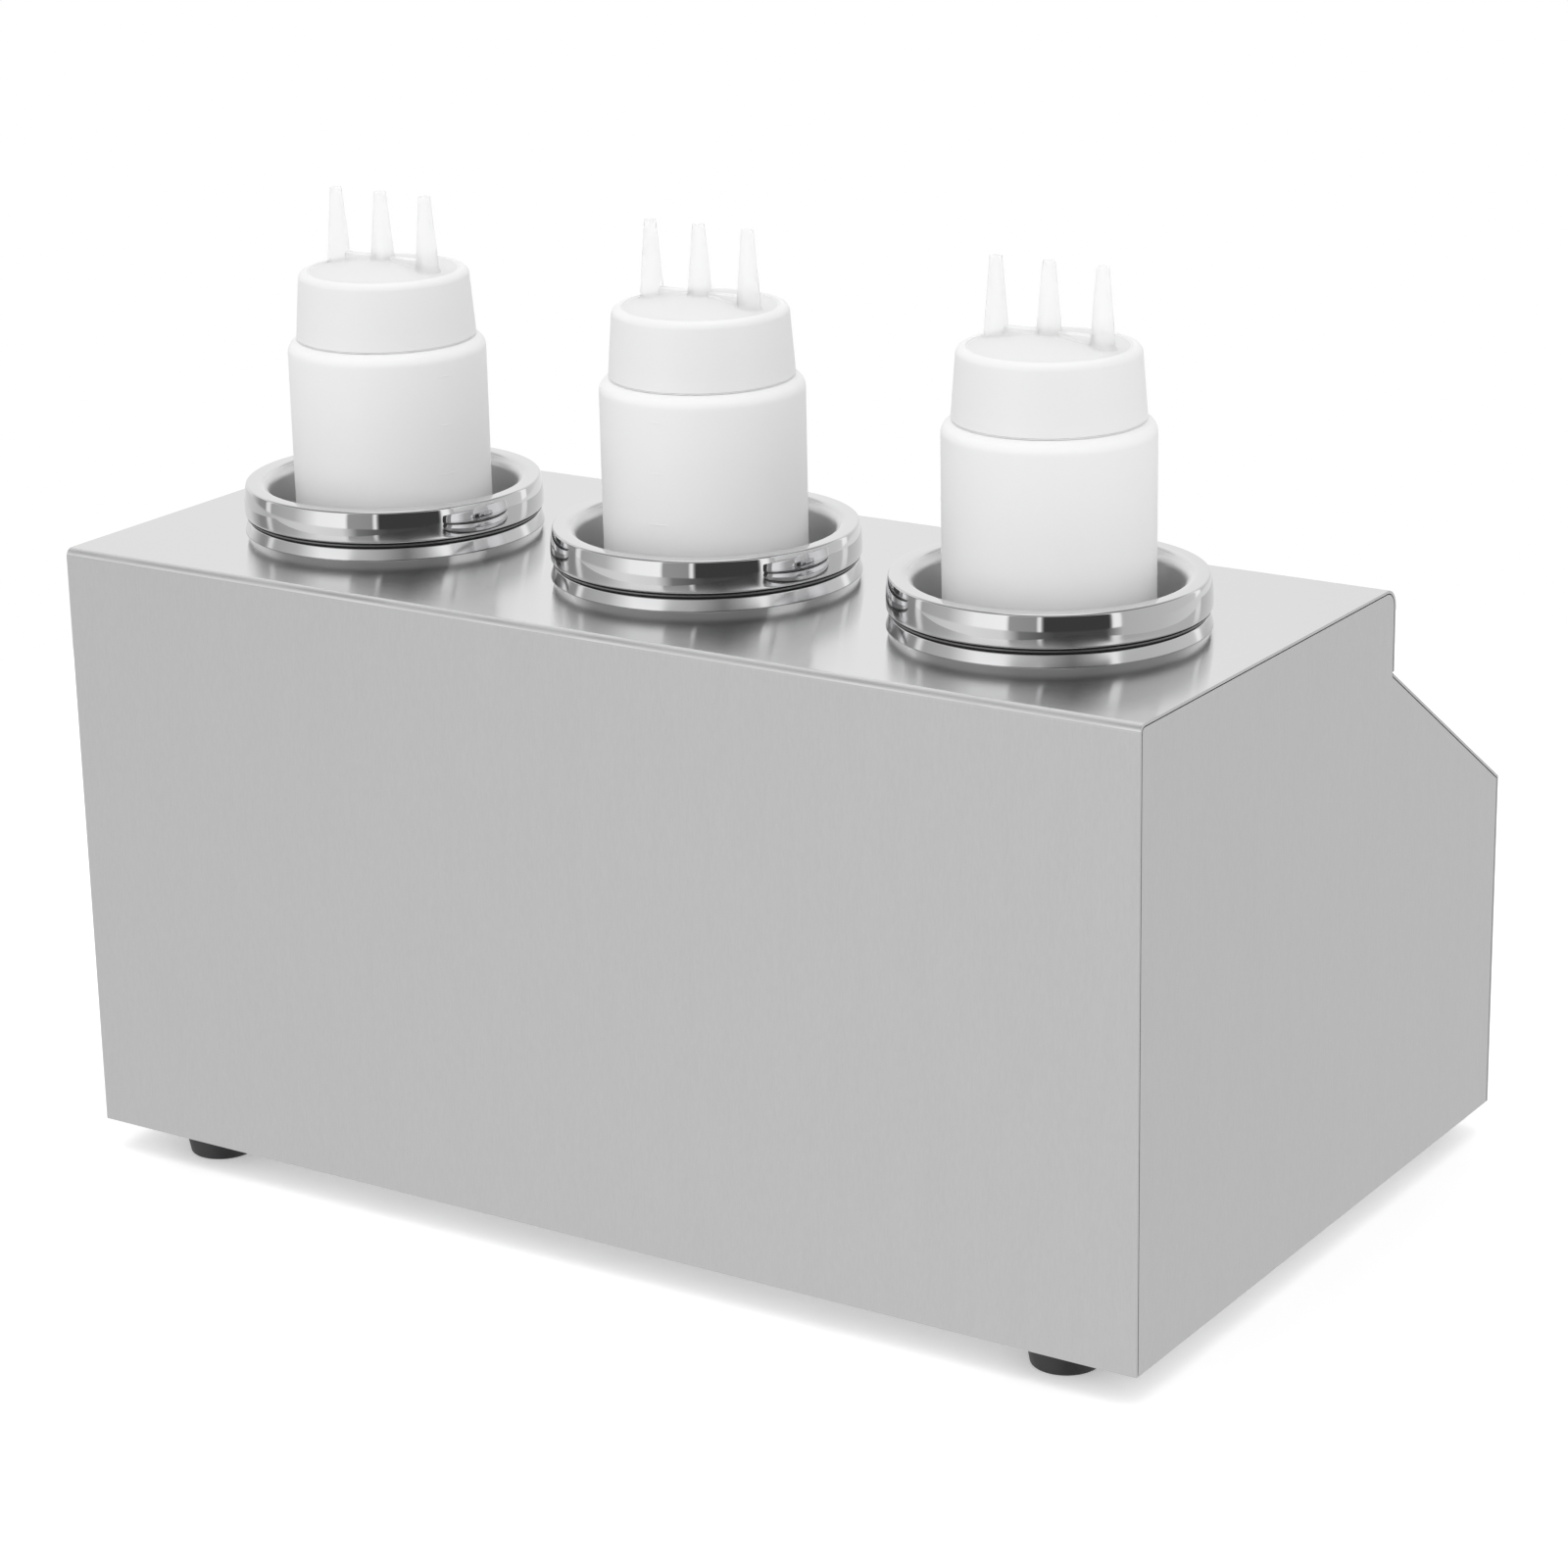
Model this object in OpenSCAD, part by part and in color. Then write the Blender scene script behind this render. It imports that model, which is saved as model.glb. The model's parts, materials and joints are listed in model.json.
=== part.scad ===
// Electric sauce warmer: a sheet steel cabinet with three heated wells, each holding a
// lift-out pot and a squeeze bottle with a three-tip cap. Units are millimetres.
// X runs across the cabinet, the control slope faces -Y, Z is up and zero is under the feet.

/* [Cabinet] */
// Width of the cabinet across its side panels
body_w = 450; // [440:5:520]
// Depth of the cabinet at its base
body_d = 282; // [276:2:320]
// Depth of the control slope, from the front face to the upper front
slope_d = 94; // [88:1:98]
// Height of the cabinet, base edge to deck
body_h = 227; // [220:1:260]
// Height of the control slope's lower edge above the base edge
slope_low = 131; // [120:1:136]
// Height of the control slope's upper edge above the base edge
slope_high = 195; // [190:1:200]
// Thickness of the cabinet sheets
sheet_t = 1; // [0.8:0.1:1.4]
// Outer radius of the bend behind the deck
rear_bend_r = 3; // [2:0.5:5]
// Outer radius of the bend in front of the deck
front_bend_r = 7; // [4:0.5:9]
// Open seam between a side panel and the sheet around it
seam = 0.4; // [0.3:0.1:0.8]
// Width of the turned-in flanges
flange_w = 14; // [12:1:16]
// Thickness of the base plate
base_t = 1.2; // [1:0.1:2]

/* [Feet] */
// Clearance under the cabinet
foot_h = 12; // [10:1:16]
// Diameter of a foot at the ground
foot_d = 25; // [22:1:28]
// Diameter of a foot under the base plate
foot_top_d = 29; // [26:1:31]
// Distance of a foot's centre from the side
foot_in_x = 39; // [36:1:50]
// Distance of a foot's centre from the rear or front face
foot_in_y = 22; // [20:1:26]

/* [Wells] */
// How far an outer well sits inside the middle of its third of the cabinet
well_in_x = 9; // [6:1:12]
// How far the well row sits behind the middle of the deck
well_off_y = 4; // [2:1:6]
// Outer diameter of the pot's rim and of the collar under it
rim_d = 112; // [110:1:116]
// Diameter of the pot's mouth at the rim
mouth_d = 94; // [92:1:96]
// Height of the pot's rim
rim_h = 11.7; // [10:0.1:14]
// Height of the collar on the deck
collar_h = 4.4; // [3.5:0.1:6]
// Thickness of the gasket between collar and rim
gasket_h = 1.9; // [1.5:0.1:2.5]
// Depth of the pot from its rim to its floor
pot_depth = 132; // [125:1:140]
// Wall thickness of the pot
pot_wall = 0.8; // [0.6:0.1:1]
// Air gap between pot and well
pot_gap = 1.2; // [0.8:0.1:1.4]
// Wall thickness of the well
well_wall = 1; // [0.8:0.1:1.2]
// Gap under the pot's floor
floor_gap = 2; // [1:0.5:4]

/* [Heating] */
// Height of the heater band
band_h = 55; // [40:1:65]
// Thickness of the heater band
band_t = 3.2; // [2.5:0.1:4]
// Width of the split at the front of the band
band_split = 16; // [14:1:20]
// Diameter of the thermostat's sensing bulb
bulb_d = 6; // [5:0.5:7]
// Length of the sensing bulb
bulb_l = 48; // [40:1:50]
// Diameter of the capillary tube
capillary_d = 1.8; // [1.5:0.1:2.2]
// Diameter of the thermal cut-out
cutout_d = 16; // [14:1:20]
// Height of the thermal cut-out
cutout_h = 7; // [6:0.5:9]

/* [Bottles] */
// Diameter of the bottle
bottle_d = 73.5; // [70:0.5:76]
// Height of the bottle up to the cap's lower edge
bottle_h = 186; // [180:1:190]
// Wall thickness of the bottle
bottle_wall = 1.3; // [1:0.1:1.6]
// Radius of the bottle's shoulder
shoulder_r = 5; // [4:0.5:5.5]
// Radius of the bottle's bottom edge
heel_r = 6; // [4:0.5:8]
// Diameter of the bottle's neck
neck_d = 57; // [54:0.5:58]
// How far the thread ridges stand out from the neck
thread_rise = 1.3; // [1:0.1:1.6]
// Lead of the cap's two-start thread
thread_lead = 8; // [6:0.5:9]
// Running gap between thread ridges and cap
thread_gap = 0.4; // [0.3:0.05:0.6]

/* [Caps] */
// Diameter of the cap's lower edge
cap_d = 66.6; // [65:0.2:68]
// Diameter of the cap's upper edge
cap_top_d = 63.2; // [62:0.2:64]
// Height of the cap's skirt
cap_h = 24.7; // [23:0.1:26]
// Thickness of the cap's top
cap_top_t = 2.4; // [2:0.1:3]
// Radius of the cap's upper edge
cap_edge_r = 2.6; // [2:0.1:3]
// Rise of the hill in the middle of the cap
hill_h = 4; // [3:0.5:6]
// Height of the nozzle tips above the cap's top
nozzle_h = 28.6; // [24:0.2:34]
// Distance between nozzle centres
nozzle_pitch = 20.5; // [18:0.5:21]
// Diameter of a nozzle at its tip
tip_d = 4.2; // [3.6:0.1:5]
// Diameter of a nozzle at its root
root_d = 8.4; // [7.5:0.1:9]
// Wall thickness of a nozzle
nozzle_wall = 0.9; // [0.7:0.1:1.1]
// Thickness of the web that joins the nozzles
web_t = 2.6; // [2:0.1:4]
// Thickness of the cap's sealing ring
seal_t = 1.5; // [1:0.1:2]

/* [Controls] */
// Diameter of a knob's skirt
knob_d = 38; // [34:1:42]
// Height of a knob
knob_h = 18; // [15:1:22]
// Diameter of a dial plate
dial_d = 62; // [56:1:66]
// Thickness of a dial plate
dial_t = 0.6; // [0.4:0.1:1]
// Diameter of a thermostat shaft
shaft_d = 6; // [5:0.5:7]
// Radial running gap of the shaft in its bush
shaft_gap = 0.08; // [0.05:0.01:0.1]
// Diameter of a pilot lamp's lens
lamp_d = 12; // [10:0.5:14]
// Width of the rocker switch's frame
switch_w = 21; // [19:0.5:24]
// Length of the rocker switch's frame
switch_l = 30; // [28:0.5:32]
// Angle that the rocker leans each way
rocker_tilt = 9; // [6:1:12]

/* [Base fittings] */
// Bore of the cord bush
cord_bore_d = 7.6; // [6:0.2:9]
// Diameter of the cord bush's flange
bush_d = 20; // [18:1:24]
// Screw diameter for the base plate and the feet
screw_d = 4; // [3:0.5:4]

/* [Hidden] */

// Facets of large and of small round forms, and steps in a bend
round_fn = 96;
small_fn = 48;
bend_steps = 6;
// Overrun of every cut
cut = 1;

// Levels and faces of the cabinet
base_z = foot_h;
deck_z = base_z + body_h;
rear_y = body_d/2;
front_y = -body_d/2;
upper_y = front_y + slope_d;
well_pitch = body_w/3 - well_in_x;
well_y = (rear_y + upper_y)/2 + well_off_y;
slope_rise = slope_high - slope_low;
slope_a = atan2(slope_rise, slope_d);
slope_len = norm([slope_d, slope_rise]);
panel_in = sheet_t + seam;
// Holes for screws and their clearance
screw_gap = 0.15;
screw_hole_r = screw_d/2 + screw_gap;
foot_gap = 1.5;
flange_screw_share = 0.55;
flange_screw_in = flange_w*flange_screw_share;
flange_screw_shares = [-0.62, 0, 0.62];

// Levels of a well, counted up from the deck
collar_z = deck_z + collar_h;
rim_low_z = collar_z + gasket_h;
rim_top_z = rim_low_z + rim_h;
pot_floor_z = rim_top_z - pot_depth;
pot_base_z = pot_floor_z - pot_wall;
well_floor_z = pot_base_z - floor_gap;
rim_r = rim_d/2;
mouth_r = mouth_d/2;
pot_mouth_step = 0.6;
pot_r = mouth_r - pot_mouth_step;
pot_out_r = pot_r + pot_wall;
well_r = pot_out_r + pot_gap;
well_out_r = well_r + well_wall;
rim_edge_r = 2.2;
mouth_edge_r = 3;
pot_heel_r = 8;
lip_w = 4.5;
collar_edge_r = 1.2;
deck_hole_gap = 0.5;
deck_hole_r = well_out_r + deck_hole_gap;
gasket_in = 1.2;
clamp_w = 7;
clamp_h = 5;
clamp_gap = 0.2;

// Heater band and what touches the well's wall
band_gap = 0.2;
band_in_r = well_out_r + band_gap;
band_low_share = 0.28;
band_z = well_floor_z + (deck_z - well_floor_z)*band_low_share;
post_d = 4;
post_l = 9;
post_spread = 24;
bulb_gap = 0.2;
bulb_y = well_y - well_out_r - bulb_d/2 - bulb_gap;
bulb_z = band_z + (band_h - bulb_l)/2;
joint_share = 1.15;
// Way of the capillary: down from the bulb, forwards and down, and straight into the thermostat
capillary_down = 9;
capillary_out = 21.6;
capillary_fall = 5.4;
capillary_lead = 7.2;
clip_t = 0.8;
clip_h = 8;
clip_gap = 0.1;
cutout_tab_w = 6.3;
cutout_tab_t = 0.8;
cutout_tab_h = 8;
cutout_tab_spread = 9;

// Bottle, cap and nozzle levels
bottle_r = bottle_d/2;
bottle_z = pot_floor_z;
cap_z = bottle_z + bottle_h;
cap_gap = 0.3;
shoulder_z = cap_z - cap_gap;
neck_r = neck_d/2;
neck_wall = 1.8;
ridge_r = neck_r + thread_rise;
ridge_h = 1.6;
ridge_pitch = thread_lead/2;
ridge_share = 0.52;
punt_h = 3;
punt_share = 0.7;
cap_top_z = cap_z + cap_h;
cap_under_z = cap_top_z - cap_top_t;
neck_top_z = cap_under_z - seal_t;
cap_bore_r = ridge_r + thread_gap;
edge_relief = 0.5;
hill_share = 0.95;
hill_points = 8;
web_rise = 1;
seal_in = 1.4;
seal_w = 4;

// Places along the slope, as shares of its length from its lower edge
knob_share = 0.43;
lamp_gap = 8;
lamp_bezel_w = 1.6;
lamp_share = knob_share + (dial_d/2 + lamp_gap + lamp_d/2 + lamp_bezel_w)/slope_len;
switch_x = well_pitch/2;
hole_gap = 0.25;
bush_w = 3;
bush_l = 9;
thermostat_w = 36;
thermostat_l = 32;
thermostat_h = 26;
bush_nut_d = 15;
bush_nut_h = 2.2;
shaft_r = shaft_d/2;
thermo_bush_r = shaft_r + bush_w;
panel_gap = 0.4;
nut_gap = 1.5;
knob_skirt_h = 3;
knob_skirt_share = 0.94;
knob_body_share = 0.8;
knob_top_share = 0.72;
knob_lift = 0.6;
grip_w = 9;
grip_h_share = 0.55;
pointer_w = 1.4;
pointer_t = 0.5;
pointer_share = 0.14;
shaft_reach_share = 0.6;
shaft_top = dial_t + bush_nut_h + knob_h*shaft_reach_share;
lamp_bezel_h = 1.8;
lamp_dome_h = 2.4;
lamp_body_l = 22;
lamp_body_share = 0.72;
switch_rim_w = 2.2;
switch_rim_h = 2;
switch_depth = 20;
switch_well_share = 0.55;
switch_gap = 0.4;
rocker_shares = [[-0.86, -0.35], [0, -0.9], [0.86, -0.35], [0.93, 0.92], [0, 0.45], [-0.93, 0.92]];
rocker_proud = 1.6;
rocker_pivot_in = 3.2;
rocker_axle_d = 2.4;
axle_gap = 0.08;
switch_tab_w = 4.8;
switch_tab_t = 0.8;
switch_tab_h = 9;
switch_tab_pitch = 7.7;

// Base fittings
foot_screw_head_d = 9;
foot_screw_head_h = 2.6;
foot_recess_d = 13;
foot_recess_h = 5;
screw_head_share = 1.9;
screw_head_h_share = 0.55;
screw_reach = 5;
bush_x_share = 0.36;
bush_y_share = 0.24;
bush_x = body_w*bush_x_share;
bush_y = rear_y - body_d*bush_y_share;
bush_neck_share = 0.36;
bush_neck_r = bush_d*bush_neck_share;
bush_tip_share = 0.82;
bush_flange_h = 2.5;
bush_drop = 7;
bush_up = 6;
bush_gap = 0.2;
block_w = 52;
block_d = 22;
block_h = 20;
block_x_share = 0.16;
block_y_share = -0.17;
block_step_share = 0.55;
block_wall_share = 0.56;
block_row_share = 0.39;
block_floor_share = 0.2;
block_ways = 5;
block_screw_d = 4.6;
vent_w = 4;
vent_l = 46;
vent_pitch = 10;
vent_count = 9;
vent_row_share = 0.7;

steel = [0.76, 0.76, 0.77];
bright = [0.86, 0.87, 0.88];
black = [0.13, 0.13, 0.14];
milky = [0.93, 0.94, 0.95, 0.8];
amber = [0.95, 0.55, 0.12];
cream = [0.88, 0.86, 0.8];
copper = [0.72, 0.45, 0.3];
mica = [0.62, 0.6, 0.55];
pale = [0.8, 0.8, 0.78];

// Points on an arc about c, from angle a0 to angle a1
function arc(c, r, a0, a1, n = bend_steps) =
    [for (i = [0:n]) let (a = a0 + (a1 - a0)*i/n) c + r*[cos(a), sin(a)]];
// Unit normal to the left of the line from a to b
function normal(a, b) = let (d = (b - a)/norm(b - a)) [-d[1], d[0]];
// Point i of path p moved t to its left, mitred at a corner
function mitre(p, i, t) = i == 0 ? p[0] + t*normal(p[0], p[1])
    : i == len(p) - 1 ? p[i] + t*normal(p[i - 1], p[i])
    : let (m = normal(p[i - 1], p[i]) + normal(p[i], p[i + 1])) p[i] + 2*t*m/(m*m);
// Outline of a sheet of thickness t that lies to the left of path p
function sheet(p, t) = concat(p, [for (i = [len(p) - 1:-1:0]) mitre(p, i, t)]);
// Height of the slope's face at y, moved inwards by d
function slope_z(y, d) = base_z + slope_low + (y - front_y)*tan(slope_a) - d/cos(slope_a);
// Side outline of the cabinet, moved inwards by d, and by b at the base
function side_outline(d, b) = concat(
    [[front_y + d, base_z + b], [rear_y - d, base_z + b]],
    arc([rear_y - rear_bend_r, deck_z - rear_bend_r], rear_bend_r - d, 0, 90),
    arc([upper_y + front_bend_r, deck_z - front_bend_r], front_bend_r - d, 90, 180),
    [[upper_y + d, slope_z(upper_y + d, d)], [front_y + d, slope_z(front_y + d, d)]]);
function well_x(i) = (i - 2)*well_pitch;

// Extrudes a side view across the cabinet, from x over a width w
module across(x, w) { translate([x, 0, 0]) rotate([90, 0, 90]) linear_extrude(w) children(); }
// Puts children on the slope's outer face, with Z out of it
module on_slope(x, share) {
    translate([x, front_y + slope_d*share, base_z + slope_low + slope_rise*share])
        rotate([slope_a, 0, 0]) children();
}
module at_foot(sx, sy) { translate([sx*(body_w/2 - foot_in_x), sy*(body_d/2 - foot_in_y), 0]) children(); }
module each_foot() { for (sx = [-1, 1], sy = [-1, 1]) at_foot(sx, sy) children(); }
// Places of the base screws, on the flanges of the rear, the front and both sides
module each_base_screw() {
    reach_x = body_w/2 - foot_in_x - foot_top_d;
    reach_y = body_d/2 - foot_in_y - foot_top_d;
    for (s = flange_screw_shares, e = [-1, 1]) {
        translate([s*reach_x, e*(body_d/2 - flange_screw_in), base_z]) children();
        translate([e*(body_w/2 - flange_screw_in), s*reach_y, base_z]) children();
    }
}
module base_cuts() {
    each_foot() translate([0, 0, base_z - cut])
        cylinder(h = sheet_t + 2*cut, d = foot_top_d + foot_gap, $fn = small_fn);
    each_base_screw() translate([0, 0, -cut])
        cylinder(h = base_t + sheet_t + 2*cut, r = screw_hole_r, $fn = small_fn);
}
// Straight tube or rod between two points
module rod(a, b, d) {
    v = b - a;
    translate(a) rotate([0, acos(v[2]/norm(v)), atan2(v[1], v[0])])
        cylinder(h = norm(v), d = d, $fn = small_fn/2);
}

module wrap_shell() {
    upper_low_z = slope_z(upper_y + sheet_t, 0) + seam;
    path = concat([[upper_y, upper_low_z]],
        arc([upper_y + front_bend_r, deck_z - front_bend_r], front_bend_r, 180, 90),
        arc([rear_y - rear_bend_r, deck_z - rear_bend_r], rear_bend_r, 90, 0),
        [[rear_y, base_z], [rear_y - flange_w, base_z]]);
    color(steel) difference() {
        across(-body_w/2, body_w) polygon(sheet(path, -sheet_t));
        for (i = [1:3]) translate([well_x(i), well_y, deck_z - sheet_t - cut])
            cylinder(h = sheet_t + 2*cut, r = deck_hole_r, $fn = round_fn);
        for (e = [-1, 1]) translate([e*(body_w/2 - flange_w/2), rear_y - sheet_t - flange_w/2, base_z])
            cube([flange_w + seam, flange_w, 3*sheet_t], center = true);
        base_cuts();
    }
}

// Slope and lower front in one sheet, tucked up behind the upper front and cut clear of the side flanges
module front_panel() {
    tuck_y = upper_y + sheet_t + seam;
    tuck_z = slope_z(tuck_y, 0);
    window = [switch_w, switch_l] - 2*[switch_rim_w - hole_gap, switch_rim_w - hole_gap];
    path = [[tuck_y, tuck_z + flange_w], [tuck_y, tuck_z],
        [front_y, base_z + slope_low], [front_y, base_z], [front_y + flange_w, base_z]];
    color(steel) difference() {
        across(-body_w/2, body_w) polygon(sheet(path, sheet_t));
        for (i = [1:3]) {
            on_slope(well_x(i), knob_share) translate([0, 0, -sheet_t - cut])
                cylinder(h = sheet_t + 2*cut, r = thermo_bush_r + hole_gap, $fn = small_fn);
            on_slope(well_x(i), lamp_share) translate([0, 0, -sheet_t - cut])
                cylinder(h = sheet_t + 2*cut, d = lamp_d*lamp_body_share + 2*hole_gap, $fn = small_fn);
        }
        on_slope(switch_x, knob_share) cube([window[0], window[1], 2*(sheet_t + cut)], center = true);
        for (e = [-1, 1]) {
            translate([e*(body_w/2 - flange_w/2), front_y + sheet_t + flange_w/2, base_z])
                cube([flange_w + seam, flange_w, 3*sheet_t], center = true);
            translate([e*body_w/2, tuck_y - seam + flange_w/2, tuck_z + flange_w/2])
                cube([2*(flange_w + panel_in), flange_w, 2*flange_w], center = true);
        }
        base_cuts();
    }
}

// Flat side panel with flanges turned in along its whole edge; side is 1 on the right
module side_panel(side) {
    color(steel) difference() {
        mirror([side > 0 ? 0 : 1, 0, 0]) difference() {
            across(body_w/2 - flange_w, flange_w) polygon(side_outline(panel_in, 0));
            across(body_w/2 - flange_w - cut, flange_w - sheet_t + cut)
                polygon(side_outline(panel_in + sheet_t, sheet_t));
        }
        base_cuts();
    }
}

module base_plate() {
    color(steel) difference() {
        translate([-body_w/2 + 2*panel_in, front_y + 2*panel_in, base_z + sheet_t])
            cube([body_w - 4*panel_in, body_d - 4*panel_in, base_t]);
        each_base_screw() translate([0, 0, -cut])
            cylinder(h = base_t + sheet_t + 2*cut, r = screw_hole_r, $fn = small_fn);
        each_foot() translate([0, 0, base_z - cut])
            cylinder(h = base_t + sheet_t + 2*cut, r = screw_hole_r, $fn = small_fn);
        translate([bush_x, bush_y, base_z])
            cylinder(h = base_t + sheet_t + cut, r = bush_neck_r + bush_gap, $fn = small_fn);
        for (k = [0:vent_count - 1], e = [-1, 1])
            translate([(k - (vent_count - 1)/2)*vent_pitch, well_y + e*vent_l*vent_row_share,
                base_z + sheet_t + base_t/2]) {
                cube([vent_w, vent_l - vent_w, base_t + 2*cut], center = true);
                for (q = [-1, 1]) translate([0, q*(vent_l - vent_w)/2, 0])
                    cylinder(h = base_t + 2*cut, d = vent_w, center = true, $fn = small_fn);
            }
    }
}

module foot(sx, sy) {
    top = base_z + sheet_t;
    color(black) at_foot(sx, sy) difference() {
        rotate_extrude($fn = small_fn) polygon([[0, 0], [foot_d/2 - edge_relief, 0], [foot_d/2, edge_relief],
            [foot_top_d/2, top - 2*edge_relief], [foot_top_d/2, top], [0, top]]);
        translate([0, 0, -cut]) cylinder(h = foot_recess_h + cut, d = foot_recess_d, $fn = small_fn);
        translate([0, 0, -cut]) cylinder(h = top + 2*cut, r = screw_hole_r, $fn = small_fn);
    }
}

module foot_screws() {
    shank = base_z + sheet_t + base_t + screw_reach - foot_recess_h;
    color(bright) each_foot() {
        translate([0, 0, foot_recess_h - foot_screw_head_h])
            cylinder(h = foot_screw_head_h, d = foot_screw_head_d, $fn = small_fn);
        translate([0, 0, foot_recess_h - foot_screw_head_h/2])
            cylinder(h = shank + foot_screw_head_h/2, d = screw_d, $fn = small_fn);
    }
}

module base_screws() {
    head_h = screw_d*screw_head_h_share;
    color(bright) each_base_screw() {
        translate([0, 0, -head_h]) cylinder(h = head_h, d = screw_d*screw_head_share, $fn = small_fn);
        translate([0, 0, -head_h/2])
            cylinder(h = head_h/2 + sheet_t + base_t + screw_reach, d = screw_d, $fn = small_fn);
    }
}

// Outer well: a can hung from the deck by its polished collar
module well(i) {
    profile = concat(
        [[0, well_floor_z - well_wall], [well_out_r, well_floor_z - well_wall], [well_out_r, deck_z]],
        arc([rim_r - collar_edge_r, deck_z + collar_edge_r], collar_edge_r, -90, 0),
        arc([rim_r - collar_edge_r, collar_z - collar_edge_r], collar_edge_r, 0, 90),
        arc([well_r + collar_edge_r, collar_z - collar_edge_r], collar_edge_r, 90, 180),
        [[well_r, well_floor_z], [0, well_floor_z]]);
    color(bright) translate([well_x(i), well_y, 0]) rotate_extrude($fn = round_fn) polygon(profile);
}

// Ring screwed up under the deck that holds the well down
module well_clamp(i) {
    color(steel) translate([well_x(i), well_y, deck_z - sheet_t - clamp_h]) difference() {
        cylinder(h = clamp_h, r = well_out_r + clamp_w, $fn = round_fn);
        translate([0, 0, -cut]) cylinder(h = clamp_h + 2*cut, r = well_out_r + clamp_gap, $fn = round_fn);
    }
}

module gasket(i) {
    color(black) translate([well_x(i), well_y, collar_z]) difference() {
        cylinder(h = gasket_h, r = rim_r - gasket_in, $fn = round_fn);
        translate([0, 0, -cut]) cylinder(h = gasket_h + 2*cut, r = well_r + collar_edge_r, $fn = round_fn);
    }
}

// Lift-out pot with a hollow rim, drawn from one sheet
module pot(i) {
    path = concat([[rim_r - lip_w, rim_low_z], [rim_r, rim_low_z]],
        arc([rim_r - rim_edge_r, rim_top_z - rim_edge_r], rim_edge_r, 0, 90),
        arc([pot_r + mouth_edge_r, rim_top_z - mouth_edge_r], mouth_edge_r, 90, 180),
        arc([pot_r - pot_heel_r, pot_floor_z + pot_heel_r], pot_heel_r, 0, -90),
        [[0, pot_floor_z]]);
    color(bright) translate([well_x(i), well_y, 0])
        rotate_extrude($fn = round_fn) polygon(sheet(path, pot_wall));
}

module heater_band(i) {
    color(mica) translate([well_x(i), well_y, band_z]) {
        difference() {
            cylinder(h = band_h, r = band_in_r + band_t, $fn = round_fn);
            translate([0, 0, -cut]) cylinder(h = band_h + 2*cut, r = band_in_r, $fn = round_fn);
            translate([-band_split/2, -rim_r - band_t, -cut]) cube([band_split, rim_r, band_h + 2*cut]);
        }
        for (e = [-1, 1]) translate([e*post_spread/2, band_in_r + band_t/2, band_h/2]) rotate([-90, 0, 0])
            cylinder(h = post_l, d = post_d, $fn = small_fn);
    }
}

module thermal_cutouts() {
    color(black) for (i = [1:3]) translate([well_x(i), well_y, well_floor_z - well_wall - cutout_h]) {
        cylinder(h = cutout_h, d = cutout_d, $fn = small_fn);
        for (e = [-1, 1]) translate([e*cutout_tab_spread/2, 0, cutout_h/2 - cutout_tab_h/2])
            cube([cutout_tab_t, cutout_tab_w, cutout_tab_h], center = true);
    }
}

// Sensing bulb on the well's wall and its capillary to the thermostat
module sensor(i) {
    x = well_x(i);
    end = [x, bulb_y, bulb_z];
    turn = [x, bulb_y, bulb_z - capillary_down];
    over = [x, bulb_y - capillary_out, turn[2] - capillary_fall];
    port = thermostat_port(x, 0);
    bend = thermostat_port(x, capillary_lead);
    color(copper) {
        translate(end) cylinder(h = bulb_l, d = bulb_d, $fn = small_fn);
        rod(end + [0, 0, cut], turn, capillary_d);
        rod(turn, over, capillary_d);
        rod(over, bend, capillary_d);
        rod(bend, port, capillary_d);
        for (p = [turn, over, bend]) translate(p) sphere(d = capillary_d*joint_share, $fn = small_fn/2);
    }
}
// Point e behind the thermostat's rear face, where the capillary enters it
function thermostat_port(x, e) = let (d = sheet_t + panel_gap + thermostat_h + e, s = knob_share)
    [x, front_y + slope_d*s + d*sin(slope_a), base_z + slope_low + slope_rise*s - d*cos(slope_a)];

module bulb_clips() {
    r = bulb_d/2 + clip_gap;
    color(bright) for (i = [1:3]) translate([well_x(i), bulb_y, band_z + (band_h - clip_h)/2]) difference() {
        union() {
            cylinder(h = clip_h, r = r + clip_t, $fn = small_fn);
            translate([-r - clip_t, 0, 0]) cube([2*(r + clip_t), bulb_d/2, clip_h]);
        }
        translate([0, 0, -cut]) cylinder(h = clip_h + 2*cut, r = r, $fn = small_fn);
        translate([-r, 0, -cut]) cube([2*r, bulb_d, clip_h + 2*cut]);
        translate([0, well_y - bulb_y, -cut])
            cylinder(h = clip_h + 2*cut, r = well_out_r + clip_gap, $fn = round_fn);
    }
}

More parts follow.
